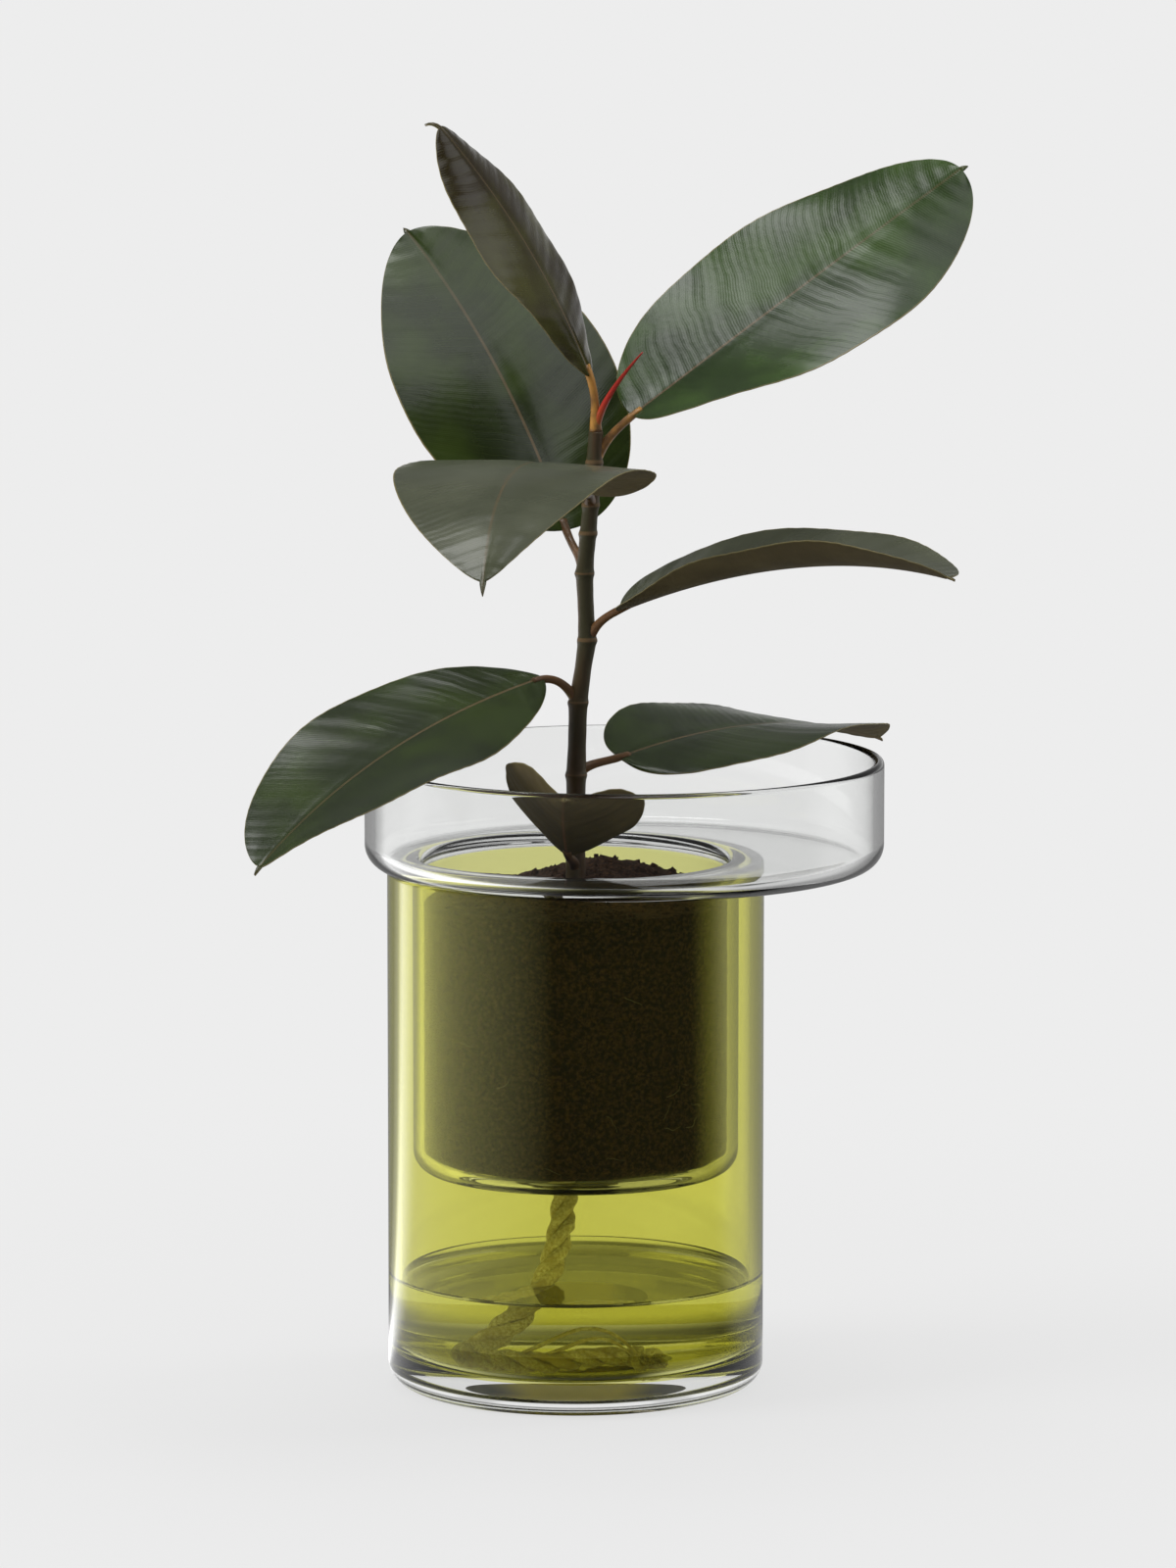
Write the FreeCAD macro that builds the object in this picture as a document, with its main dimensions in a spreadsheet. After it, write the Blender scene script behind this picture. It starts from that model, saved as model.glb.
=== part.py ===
import FreeCAD, Part
import Sketcher
import math
import os
import re

# Self-watering jar planter. A thick-based glass jar holds water. A clear glass insert, a shallow
# dish with a well that hangs inside the jar, stands on the jar's rim. A cotton rope wick runs from
# the water up through the well's bottom into the soil of a rubber plant.
# Millimetres and degrees, +Z up. The origin is the middle of the jar's underside. The jar and the
# well share the Z axis, and the dish is set off towards +X.

SIZES = (
    ("jar_diameter", 134.0),
    ("jar_height", 186.5),
    ("jar_wall", 4.7),
    ("jar_base", 11.0),
    ("jar_foot_round", 8.5),
    ("jar_floor_round", 14.0),
    ("jar_rim_bevel", 1.3),
    ("dish_left_overhang", 7.95),
    ("dish_right_overhang", 42.55),
    ("dish_height", 38.5),
    ("dish_wall", 3.6),
    ("dish_floor", 4.0),
    ("dish_corner_round", 8.5),
    ("dish_inner_bevel", 3.2),
    ("dish_rim_bevel", 1.1),
    ("well_gap", 4.3),
    ("well_depth", 109.3),
    ("well_wall", 3.5),
    ("well_bottom", 3.6),
    ("well_corner_round", 9.0),
    ("well_inner_bevel", 4.0),
    ("well_lip_bevel", 2.0),
    ("well_neck_bevel", 1.6),
    ("wick_diameter", 8.6),
    ("wick_buried", 62.0),
    ("wick_hole_offset", 4.0),
    ("water_depth", 28.1),
    ("soil_below_floor", 14.0),
    ("mound_height", 12.5),
    ("mound_radius", 42.0),
    ("mound_x", 10.0),
    ("mound_y", 16.0),
    ("stem_height", 173.0),
    ("stem_buried", 8.0),
    ("front_small_above_foot", 16.6),
    ("right_low_above_foot", 50.5),
    ("left_low_above_foot", 76.5),
    ("right_drooping_below_top", 74.4),
    ("back_left_below_top", 50.5),
    ("front_left_below_top", 26.1),
    ("right_large_below_top", 11.2),
    ("stem_foot_diameter", 7.2),
    ("stem_top_diameter", 5.0),
    ("stem_ring", 0.4),
    ("leaf_length", 150.0),
    ("leaf_width", 88.0),
    ("leaf_thickness", 1.0),
    ("leaf_end_width", 2.4),
    ("petiole_diameter", 3.0),
    ("petiole_foot_diameter", 4.2),
    ("sheath_length", 33.0),
    ("sheath_diameter", 3.0),
    ("sheath_tip_diameter", 0.8),
    ("soft_gap", 0.3),
    ("tunnel_gap", 0.7),
    ("cut_overrun", 2.0),
)

doc = FreeCAD.newDocument("jar_planter")
sheet = doc.addObject("Spreadsheet::Sheet", "Sizes")
for row, (word, value) in enumerate(SIZES, start=1):
    sheet.set("A%d" % row, word)
    sheet.set("B%d" % row, str(value))
    sheet.setAlias("B%d" % row, word)
doc.recompute()


def with_sheet(formula):
    """The formula with each size's word pointed at the sheet. Every such word has an underscore."""
    return re.sub(r"[a-z]+_[a-z_]+", lambda found: "Sizes." + found.group(0), formula)


def bind(thing, prop, formula):
    thing.setExpression(prop, with_sheet(formula))


def value_of(formula):
    """The number that a formula of the sheet's words gives."""
    return float(sheet.evalExpression(re.sub(r"\s+", " ", formula)))


# Glass: profiles turned about an upright axis

def origin_plane(body, role):
    return next(f for f in body.Origin.OriginFeatures if f.Role == role)


def profile(body, name, corners, across="0"):
    """A closed outline on the XZ plane. corners are (radius, height) pairs of formulas, and the
    axis that it turns about stands at X = across."""
    sketch = body.newObject("Sketcher::SketchObject", name)
    sketch.AttachmentSupport = [(origin_plane(body, "XZ_Plane"), "")]
    sketch.MapMode = "FlatFace"
    if across != "0":
        bind(sketch, "AttachmentOffset.Base.x", across)
    places = [(value_of(r), value_of(z)) for r, z in corners]
    count = len(places)
    for i in range(count):
        start = FreeCAD.Vector(places[i][0], places[i][1], 0)
        after = places[(i + 1) % count]
        sketch.addGeometry(Part.LineSegment(start, FreeCAD.Vector(after[0], after[1], 0)))
    for i in range(count):
        sketch.addConstraint(Sketcher.Constraint("Coincident", i, 2, (i + 1) % count, 1))
    for i, (r, z) in enumerate(corners):
        if r == "0" and z == "0":
            sketch.addConstraint(Sketcher.Constraint("Coincident", i, 1, -1, 1))
            continue
        for kind, formula, length, axis in (
            ("DistanceX", r, places[i][0], -2),
            ("DistanceY", z, places[i][1], -1),
        ):
            if formula == "0":
                sketch.addConstraint(Sketcher.Constraint("PointOnObject", i, 1, axis))
            else:
                n = sketch.addConstraint(Sketcher.Constraint(kind, -1, 1, i, 1, length))
                bind(sketch, "Constraints[%d]" % n, formula)
    return sketch


def turned(body, kind, name, corners, across="0"):
    """A Revolution or Groove of that outline, a full turn about its upright axis."""
    sketch = profile(body, name + "_profile", corners, across)
    feature = body.newObject("PartDesign::" + kind, name)
    feature.Profile = sketch
    feature.ReferenceAxis = (sketch, ["V_Axis"])
    feature.Angle = 360
    doc.recompute()
    return feature


def ring_edge(shape, radius, height, across="0"):
    """The name of the round edge with that radius and height about the axis at X = across."""
    r, z, x = value_of(radius), value_of(height), value_of(across)
    for i, edge in enumerate(shape.Edges, start=1):
        curve = edge.Curve
        if isinstance(curve, Part.Circle) and abs(curve.Axis.z) > 0.999:
            off = FreeCAD.Vector(x, 0, z).sub(curve.Center).Length
            if off < 1e-4 and abs(curve.Radius - r) < 1e-4:
                return "Edge%d" % i
    raise ValueError("no round edge of radius %s at height %s" % (radius, height))


def dressed(body, kind, name, feature, size, *rings):
    """A Fillet or Chamfer of the named rings, each (radius, height) or (radius, height, across)."""
    dressing = body.newObject("PartDesign::" + kind, name)
    dressing.Base = (feature, [ring_edge(feature.Shape, *ring) for ring in rings])
    bind(dressing, "Radius" if kind == "Fillet" else "Size", size)
    doc.recompute()
    return dressing


def rounded(body, name, feature, radius, *rings):
    return dressed(body, "Fillet", name, feature, radius, *rings)


def bevelled(body, name, feature, size, *rings):
    return dressed(body, "Chamfer", name, feature, size, *rings)


# Jar: outer wall, thick base and a bowl-cornered floor

JAR_R = "jar_diameter / 2"
BORE_R = "(jar_diameter / 2 - jar_wall)"

jar = doc.addObject("PartDesign::Body", "reservoir_jar")
jar.Label = "reservoir_jar"
wall = turned(jar, "Revolution", "jar_wall_and_base", (
    ("0", "0"),
    (JAR_R, "0"),
    (JAR_R, "jar_height"),
    (BORE_R, "jar_height"),
    (BORE_R, "jar_base"),
    ("0", "jar_base"),
))
foot = rounded(jar, "jar_foot", wall, "jar_foot_round", (JAR_R, "0"))
bowl = rounded(jar, "jar_bowl", foot, "jar_floor_round", (BORE_R, "jar_base"))
bevelled(jar, "jar_rim", bowl, "jar_rim_bevel", (JAR_R, "jar_height"), (BORE_R, "jar_height"))

# Insert: the dish stands on the jar's rim and the well hangs in its bore

DISH_R = "(jar_diameter / 2 + dish_left_overhang / 2 + dish_right_overhang / 2)"
DISH_BORE_R = "(jar_diameter / 2 + dish_left_overhang / 2 + dish_right_overhang / 2 - dish_wall)"
DISH_X = "(dish_right_overhang / 2 - dish_left_overhang / 2)"
FLOOR_Z = "(jar_height + dish_floor)"
DISH_RIM_Z = "(jar_height + dish_height)"
WELL_R = "(jar_diameter / 2 - jar_wall - well_gap)"
WELL_BORE_R = "(jar_diameter / 2 - jar_wall - well_gap - well_wall)"
WELL_FOOT_Z = "(jar_height - well_depth)"
WELL_FLOOR_Z = "(jar_height - well_depth + well_bottom)"

insert = doc.addObject("PartDesign::Body", "planter_insert")
insert.Label = "planter_insert"
dish = turned(insert, "Revolution", "dish", (
    ("0", "jar_height"),
    (DISH_R, "jar_height"),
    (DISH_R, DISH_RIM_Z),
    (DISH_BORE_R, DISH_RIM_Z),
    (DISH_BORE_R, FLOOR_Z),
    ("0", FLOOR_Z),
), across=DISH_X)
well = turned(insert, "Revolution", "well", (
    ("0", WELL_FOOT_Z),
    (WELL_R, WELL_FOOT_Z),
    (WELL_R, "jar_height"),
    ("0", "jar_height"),
))
hollow = turned(insert, "Groove", "well_hollow", (
    ("0", WELL_FLOOR_Z),
    (WELL_BORE_R, WELL_FLOOR_Z),
    (WELL_BORE_R, "(jar_height + dish_floor + cut_overrun)"),
    ("0", "(jar_height + dish_floor + cut_overrun)"),
))

hole_sketch = insert.newObject("Sketcher::SketchObject", "wick_hole_sketch")
hole_sketch.AttachmentSupport = [(origin_plane(insert, "XY_Plane"), "")]
hole_sketch.MapMode = "FlatFace"
hole_x = value_of("wick_hole_offset")
hole_r = value_of("wick_diameter / 2 + soft_gap")
hole_sketch.addGeometry(Part.Circle(FreeCAD.Vector(-hole_x, 0, 0), FreeCAD.Vector(0, 0, 1), hole_r))
hole_sketch.addConstraint(Sketcher.Constraint("PointOnObject", 0, 3, -1))
n = hole_sketch.addConstraint(Sketcher.Constraint("DistanceX", 0, 3, -1, 1, hole_x))
bind(hole_sketch, "Constraints[%d]" % n, "wick_hole_offset")
n = hole_sketch.addConstraint(Sketcher.Constraint("Radius", 0, hole_r))
bind(hole_sketch, "Constraints[%d]" % n, "wick_diameter / 2 + soft_gap")
wick_hole = insert.newObject("PartDesign::Pocket", "wick_hole")
wick_hole.Profile = hole_sketch
wick_hole.Reversed = True
wick_hole.Type = "Length"
bind(wick_hole, "Length", WELL_FLOOR_Z + " + cut_overrun")
doc.recompute()

corner = rounded(insert, "dish_corner", wick_hole, "dish_corner_round", (DISH_R, "jar_height", DISH_X))
inner = bevelled(insert, "dish_inner", corner, "dish_inner_bevel", (DISH_BORE_R, FLOOR_Z, DISH_X))
rim = bevelled(insert, "dish_rim", inner, "dish_rim_bevel",
    (DISH_R, DISH_RIM_Z, DISH_X), (DISH_BORE_R, DISH_RIM_Z, DISH_X))
lip = bevelled(insert, "well_lip", rim, "well_lip_bevel", (WELL_BORE_R, FLOOR_Z))
neck = bevelled(insert, "well_neck", lip, "well_neck_bevel", (WELL_R, "jar_height"))
base = rounded(insert, "well_corner", neck, "well_corner_round", (WELL_R, WELL_FOOT_Z))
bevelled(insert, "well_inner", base, "well_inner_bevel", (WELL_BORE_R, WELL_FLOOR_Z))

# Wick: a limp cotton rope. The free stretch hangs from the well's bottom and lies in a loop on the
# jar's floor, and the buried stretch stands in the soil. Route points in millimetres.

WICK_ROUTE = (
    (-4.0, 0.0, 77.2),
    (-4.0, 0.0, 66.5),
    (-5.0, -5.5, 56.5),
    (-7.5, -12.5, 47.0),
    (-11.5, -18.5, 38.5),
    (-17.5, -22.5, 29.0),
    (-25.5, -24.0, 21.5),
    (-32.0, -27.0, 17.3),
    (-35.7, -33.0, 16.5),
    (-35.0, -40.0, 17.7),
    (-30.4, -45.2, 18.5),
    (-23.5, -47.0, 17.4),
    (-15.5, -47.5, 16.5),
    (-8.0, -44.5, 15.7),
    (-1.5, -38.5, 15.7),
    (4.0, -31.5, 15.7),
    (10.5, -27.5, 15.7),
    (17.8, -28.4, 15.7),
    (22.5, -33.0, 15.7),
    (24.0, -40.0, 15.7),
)
ROUTE_BORE_R = 62.3
ROUTE_FOOT_Z = 77.2
ROUTE_FLOOR_Z = 11.0
ROUTE_WICK_R = 4.3
LYING_Z = 19.5
RUN_SHARE = 0.45


def fitted(route):
    """The route for the sheet's jar: as wide as its bore, lying on its floor, up to the well's foot."""
    wide = value_of(BORE_R) / ROUTE_BORE_R
    lift = value_of("jar_base") - ROUTE_FLOOR_Z + value_of("wick_diameter / 2") - ROUTE_WICK_R
    foot = value_of(WELL_FOOT_Z)
    hole_x = -value_of("wick_hole_offset")
    shift = hole_x - route[0][0] * wide
    points = []
    for x, y, z in route:
        climb = max(z - LYING_Z, 0) / (ROUTE_FOOT_Z - LYING_Z)
        height = min(z, LYING_Z) + lift
        points.append((x * wide + shift * climb, y * wide, height + (foot - LYING_Z - lift) * climb))
    return tuple(points)


def bent(route):
    """The middle line of a cord: straight runs joined by tangent arcs, each as large as its two
    runs allow. Gives the wire, the arcs' radii, and the points where runs and arcs meet."""
    points = [FreeCAD.Vector(*p) for p in route]
    edges = []
    radii = []
    at = points[0]
    marks = [at]
    for before, here, after in zip(points, points[1:], points[2:]):
        back = before - here
        ahead = after - here
        reach = RUN_SHARE * min(back.Length, ahead.Length)
        half_turn = (math.pi - back.getAngle(ahead)) / 2
        arc_r = reach / math.tan(half_turn)
        start = here + back.normalize() * reach
        end = here + ahead.normalize() * reach
        middle = (back + ahead).normalize()
        corner_gap = arc_r / math.cos(half_turn) - arc_r
        edges.append(Part.LineSegment(at, start).toShape())
        edges.append(Part.Arc(start, here + middle * corner_gap, end).toShape())
        radii.append(arc_r)
        marks += [start, here + middle * corner_gap, end]
        at = end
    edges.append(Part.LineSegment(at, points[-1]).toShape())
    return Part.Wire(edges), radii, marks + [points[-1]]


def faceted(rows):
    """A solid of flat facets through rows of points, each row a closed ring with an even count."""
    corners = []
    for near, far in zip(rows, rows[1:]):
        for i in range(len(near)):
            after = (i + 1) % len(near)
            corners.append((near[i], near[after], far[after]))
            corners.append((near[i], far[after], far[i]))
    for end in (rows[0], rows[-1]):
        for i in range(len(end) // 2 - 1):
            corners.append((end[i], end[i + 1], end[-2 - i]))
            corners.append((end[i], end[-2 - i], end[-1 - i]))
    facets = [Part.Face(Part.makePolygon([a, b, c, a])) for a, b, c in corners]
    shell = Part.Shell(facets)
    shell.sewShape()
    solid = Part.Solid(Part.Shell(shell.Faces))
    if solid.Volume < 0:
        solid.reverse()
    return solid


SIDES = 8


def eight_sided(centre, ahead, side, radius):
    """Eight corners round centre, square to ahead, whose flats stand at that radius. Also gives the
    side direction squared up to ahead, which the next ring starts from."""
    ahead = FreeCAD.Vector(ahead).normalize()
    side = (side - ahead * side.dot(ahead)).normalize()
    other = ahead.cross(side)
    corner_r = radius / math.cos(math.pi / SIDES)
    angles = [math.pi * (2 * i + 1) / SIDES for i in range(SIDES)]
    return [centre + (side * math.cos(a) + other * math.sin(a)) * corner_r for a in angles], side


def add_solid(name, shape):
    """A document object that holds a shape worked out from the sheet."""
    thing = doc.addObject("Part::Feature", name)
    thing.Label = name
    thing.Shape = shape
    return thing


wick_r = value_of("wick_diameter / 2")
route = fitted(WICK_ROUTE)
wick_path, wick_radii, _ = bent(route)
wick_length = wick_path.Length
first_run = FreeCAD.Vector(*route[1]) - FreeCAD.Vector(*route[0])
wick_ring = Part.Wire(Part.makeCircle(wick_r, FreeCAD.Vector(*route[0]), first_run))
wick_shape = wick_path.makePipeShell([wick_ring], True, False)
wick = add_solid("wick", wick_shape)
print("wick: length %.1f, arc radii %s" % (wick_length, " ".join("%.1f" % r for r in wick_radii)))
print("wick: volume %.0f, section times length %.0f" % (wick_shape.Volume, math.pi * wick_r**2 * wick_length))

buried = doc.addObject("Part::Cylinder", "wick_buried_end")
buried.Label = "wick_buried_end"
bind(buried, "Radius", "wick_diameter / 2")
bind(buried, "Height", "well_bottom + wick_buried")
bind(buried, "Placement.Base.x", "-wick_hole_offset")
bind(buried, "Placement.Base.z", WELL_FOOT_Z)

# Water: fills the jar's bowl to its level, with a way through it for the wick

water_block = doc.addObject("Part::Cylinder", "water_block")
bind(water_block, "Radius", BORE_R + " - soft_gap")
bind(water_block, "Height", "water_depth - soft_gap")
bind(water_block, "Placement.Base.z", "jar_base + soft_gap")
doc.recompute()
water_foot = ring_edge(water_block.Shape, BORE_R + " - soft_gap", "jar_base + soft_gap")
water_bowl = doc.addObject("Part::Fillet", "water_bowl")
water_bowl.Base = water_block
bowl_r = value_of("jar_floor_round - soft_gap")
water_bowl.Edges = [(int(water_foot[4:]), bowl_r, bowl_r)]

tunnel_gap = value_of("tunnel_gap")
end_run = FreeCAD.Vector(*route[-1]) - FreeCAD.Vector(*route[-2])
past_end = FreeCAD.Vector(*route[-1]) + end_run.normalize() * tunnel_gap
marks = bent(route[:-1] + (tuple(past_end),))[2]
tunnel_rows = []
side = FreeCAD.Vector(1, 0, 0)
for i, mark in enumerate(marks):
    course = marks[min(i + 1, len(marks) - 1)] - marks[max(i - 1, 0)]
    row, side = eight_sided(mark, course, side, wick_r + tunnel_gap)
    tunnel_rows.append(row)
tunnel = add_solid("wick_tunnel", faceted(tunnel_rows))
water = doc.addObject("Part::Cut", "water")
water.Label = "water"
water.Base = water_bowl
water.Tool = tunnel

# Soil: the root ball in the well, with a mound beside the stem, the wick's channel and the stem's seat

SOIL_R = WELL_BORE_R + " - soft_gap"
SOIL_FOOT_Z = "(jar_height - well_depth + well_bottom + soft_gap)"
SOIL_TOP_Z = "(jar_height + dish_floor - soil_below_floor)"

soil_block = doc.addObject("Part::Cylinder", "soil_block")
bind(soil_block, "Radius", SOIL_R)
bind(soil_block, "Height", SOIL_TOP_Z + " - " + SOIL_FOOT_Z)
bind(soil_block, "Placement.Base.z", SOIL_FOOT_Z)
doc.recompute()
soil_foot = ring_edge(soil_block.Shape, SOIL_R, SOIL_FOOT_Z)
soil_ball = doc.addObject("Part::Chamfer", "soil_ball")
soil_ball.Base = soil_block
bevel = value_of("well_inner_bevel")
soil_ball.Edges = [(int(soil_foot[4:]), bevel, bevel)]

mound_parts = []
for name, low, high, from_share, height_share in (
    ("mound_skirt", "1", "0.55", "0", "0.45"),
    ("mound_crown", "0.55", "0.15", "0.45", "0.55"),
):
    cone = doc.addObject("Part::Cone", name)
    bind(cone, "Radius1", "mound_radius * " + low)
    bind(cone, "Radius2", "mound_radius * " + high)
    bind(cone, "Height", "mound_height * " + height_share)
    bind(cone, "Placement.Base.x", "mound_x")
    bind(cone, "Placement.Base.y", "mound_y")
    bind(cone, "Placement.Base.z", SOIL_TOP_Z + " + mound_height * " + from_share)
    mound_parts.append(cone)
mound = doc.addObject("Part::MultiFuse", "mound")
mound.Shapes = mound_parts
mound_space = doc.addObject("Part::Cylinder", "mound_space")
bind(mound_space, "Radius", SOIL_R)
bind(mound_space, "Height", "mound_height + cut_overrun")
bind(mound_space, "Placement.Base.z", SOIL_TOP_Z)
kept_mound = doc.addObject("Part::Common", "kept_mound")
kept_mound.Base = mound
kept_mound.Tool = mound_space
heaped = doc.addObject("Part::Fuse", "heaped_soil")
heaped.Base = soil_ball
heaped.Tool = kept_mound

channel = doc.addObject("Part::Cylinder", "wick_channel")
bind(channel, "Radius", "wick_diameter / 2 + soft_gap")
bind(channel, "Height", "wick_buried + cut_overrun")
bind(channel, "Placement.Base.x", "-wick_hole_offset")
bind(channel, "Placement.Base.z", SOIL_FOOT_Z + " - cut_overrun")
channelled = doc.addObject("Part::Cut", "channelled_soil")
channelled.Base = heaped
channelled.Tool = channel
seat = doc.addObject("Part::Cylinder", "stem_seat")
bind(seat, "Radius", "stem_foot_diameter / 2 + soft_gap")
bind(seat, "Height", "stem_buried + mound_height")
bind(seat, "Placement.Base.z", SOIL_TOP_Z + " - stem_buried")
soil = doc.addObject("Part::Cut", "soil")
soil.Label = "soil"
soil.Base = channelled
soil.Tool = seat

# Stem: tapered, leaning a little, with a ring at each leaf node

STEM_LEAN_SHARES = (
    # height, lean
    (0.0, 0.0),
    (0.12, 0.0),
    (0.292, 0.001),
    (0.442, 0.005),
    (0.57, 0.024),
    (0.708, 0.018),
    (0.849, 0.031),
    (0.935, 0.038),
    (1.0, 0.0415),
)
RING_SPREAD_SHARE = 0.4

stem_h = value_of("stem_height")
stem_z = value_of(SOIL_TOP_Z + " - stem_buried")
foot_r = value_of("stem_foot_diameter / 2")
top_r = value_of("stem_top_diameter / 2")
ring_rise = value_of("stem_ring")

NODE_HEIGHTS = {
    "front_small": value_of("front_small_above_foot"),
    "right_low": value_of("right_low_above_foot"),
    "left_low": value_of("left_low_above_foot"),
    "right_drooping": value_of("stem_height - right_drooping_below_top"),
    "back_left": value_of("stem_height - back_left_below_top"),
    "front_left": value_of("stem_height - front_left_below_top"),
    "right_large": value_of("stem_height - right_large_below_top"),
    "top_young": value_of("stem_height"),
}
RINGED = ("right_low", "left_low", "right_drooping", "back_left", "front_left", "right_large")


def stem_place(height):
    """The point on the stem's axis at that height above its foot."""
    share = height / stem_h
    for (low, lean), (high, lean_after) in zip(STEM_LEAN_SHARES, STEM_LEAN_SHARES[1:]):
        if share <= high:
            lean += (lean_after - lean) * (share - low) / (high - low)
            return FreeCAD.Vector(lean * stem_h, 0, stem_z + height)
    raise ValueError("no such place on the stem")


def facing(centre, ahead, upright):
    """A placement at centre whose Z axis looks ahead and whose X axis is as near upright as it can be."""
    return FreeCAD.Placement(centre, FreeCAD.Rotation(upright, FreeCAD.Vector(), ahead, "ZXY"))


def round_section(centre, ahead, upright, radius):
    ring = Part.Wire(Part.makeCircle(radius))
    ring.Placement = facing(centre, ahead, upright)
    return ring


def stem_solid():
    up = FreeCAD.Vector(0, 0, 1)
    side = FreeCAD.Vector(1, 0, 0)
    places = {0.0: 0.0, stem_h: 0.0}
    for name in RINGED:
        height = NODE_HEIGHTS[name]
        spread = (foot_r + (top_r - foot_r) * height / stem_h) * RING_SPREAD_SHARE
        places[height - spread] = 0.0
        places[height] = ring_rise
        places[height + spread] = 0.0
    rings = []
    for height in sorted(places):
        radius = foot_r + (top_r - foot_r) * height / stem_h + places[height]
        rings.append(round_section(stem_place(height), up, side, radius))
    return Part.makeLoft(rings, True, True)


stem_shape = stem_solid()
stem = add_solid("stem", stem_shape)

# Leaves: each blade bends along its midrib, twists, and folds up on both sides of it. A petiole
# carries it from the stem. Headings are degrees about +Z from +X, and rises are above level.

leaf_l = value_of("leaf_length")
leaf_w = value_of("leaf_width")
leaf_t = value_of("leaf_thickness")
end_w = value_of("leaf_end_width")
ALONG_STEPS = 12
ACROSS_SHARES = (-1.0, -0.5, 0.0, 0.5, 1.0)
STEPS_BETWEEN = 5


def turn(vector, axis, degrees):
    return FreeCAD.Rotation(axis, degrees).multVec(vector)


def leaf_frame(along, heading, rise, droop, swing, roll, twist):
    """The directions ahead, to the left and up at a share along the midrib."""
    course = math.radians(heading + swing * along)
    pitch = math.radians(rise - droop * along)
    ahead = FreeCAD.Vector(
        math.cos(pitch) * math.cos(course), math.cos(pitch) * math.sin(course), math.sin(pitch)
    )
    left = FreeCAD.Vector(-math.sin(course), math.cos(course), 0)
    left = turn(left, ahead, roll + twist * along)
    return ahead, left, ahead.cross(left)


def leaf_solid(base, length, width, fold, close, widest, fullness, **way):
    """A thin blade of flat facets between an upper and a lower sheet, from base along its midrib."""
    rows = []
    centre = base
    steps = ALONG_STEPS * STEPS_BETWEEN
    shares = [(1 - math.cos(math.pi * i / steps)) / 2 for i in range(steps + 1)]
    for i, along in enumerate(shares):
        ahead, left, up = leaf_frame(along, **way)
        if i:
            middle = (along + shares[i - 1]) / 2
            centre = centre + leaf_frame(middle, **way)[0] * (length * (along - shares[i - 1]))
        if i % STEPS_BETWEEN:
            continue
        spread = math.sin(math.pi * min(along**widest, 1.0))
        half = (width * max(spread, 0.0)**fullness + end_w) / 2
        lift = math.radians(fold + close * along)
        upper = []
        lower = []
        for side in ACROSS_SHARES:
            rib = centre + left * (side * half * math.cos(lift))
            rib = rib + up * (abs(side)**1.5 * half * math.sin(lift))
            slope = math.copysign(min(abs(side) * 2, 1.0), side) if side else 0.0
            normal = up * math.cos(lift * slope) - left * math.sin(lift * slope)
            upper.append(rib + normal * (leaf_t / 2))
            lower.append(rib - normal * (leaf_t / 2))
        rows.append(upper + lower[::-1])
    return faceted(rows)


PETIOLE_PULL_SHARE = 0.4
PETIOLE_RISE_SHARE = 0.6
PETIOLE_RINGS = 6
SHEATH_RINGS = 5
UP_HINT = FreeCAD.Vector(0, 0, 1)


def petiole_solid(start, end, ahead):
    """A round stalk that leaves the stem upwards, bends and meets the blade square on."""
    reach = end - start
    leave = (reach.normalize() + UP_HINT * PETIOLE_RISE_SHARE).normalize()
    span = (end - start).Length * PETIOLE_PULL_SHARE
    pulls = (start, start + leave * span, end - ahead * span, end)
    foot = value_of("petiole_foot_diameter / 2")
    tip = value_of("petiole_diameter / 2")
    curve = Part.BezierCurve()
    curve.setPoles(list(pulls))
    rows = []
    side = UP_HINT
    for i in range(PETIOLE_RINGS):
        share = i / (PETIOLE_RINGS - 1)
        radius = tip + (foot - tip) * (1 - share)**2
        row, side = eight_sided(curve.value(share), curve.tangent(share)[0], side, radius)
        rows.append(row)
    return faceted(rows)


def add_leaf(name, reach_shares, length_share, width_share,
             fold, close, widest, fullness, **way):
    """One leaf and its petiole. Reach is from the stem's axis to the blade, in leaf lengths."""
    start = stem_place(NODE_HEIGHTS[name])
    base = start + FreeCAD.Vector(*reach_shares) * leaf_l
    blade = leaf_solid(base, leaf_l * length_share, leaf_w * width_share, fold, close, widest, fullness, **way)
    add_solid("leaf_" + name, blade)
    ahead = leaf_frame(0, **way)[0]
    stalk = petiole_solid(start, base, ahead).cut(stem_shape)
    add_solid("petiole_" + name, stalk)
    return stalk


top_stalk = add_leaf(
    "top_young", (-0.014, 0.013, 0.13), 0.685, 0.565,
    heading=180, rise=69, droop=20, swing=4, roll=-19, twist=-13,
    fold=0, close=-15, widest=1.03, fullness=0.65,
)
add_leaf(
    "back_left", (-0.044, 0.143, 0.088), 0.887, 0.9,
    heading=129.5, rise=61, droop=22, swing=5.5, roll=-12, twist=-25.5,
    fold=5, close=-2, widest=0.78, fullness=0.59,
)
add_leaf(
    "right_large", (0.09, 0.02, 0.11), 1.0, 0.875,
    heading=23, rise=34, droop=-0.5, swing=-8.5, roll=21, twist=21.5,
    fold=15.5, close=-30, widest=0.94, fullness=0.49,
)
add_leaf(
    "front_left", (-0.029, -0.22, 0.059), 0.947, 0.977,
    heading=-113, rise=29.5, droop=74, swing=18.5, roll=-6, twist=16,
    fold=-5.5, close=10.5, widest=0.75, fullness=0.73,
)
add_leaf(
    "right_drooping", (0.076, -0.043, 0.079), 0.947, 0.693,
    heading=-23, rise=23, droop=29, swing=-25, roll=17, twist=-30,
    fold=20.5, close=-6, widest=0.97, fullness=0.52,
)
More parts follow.
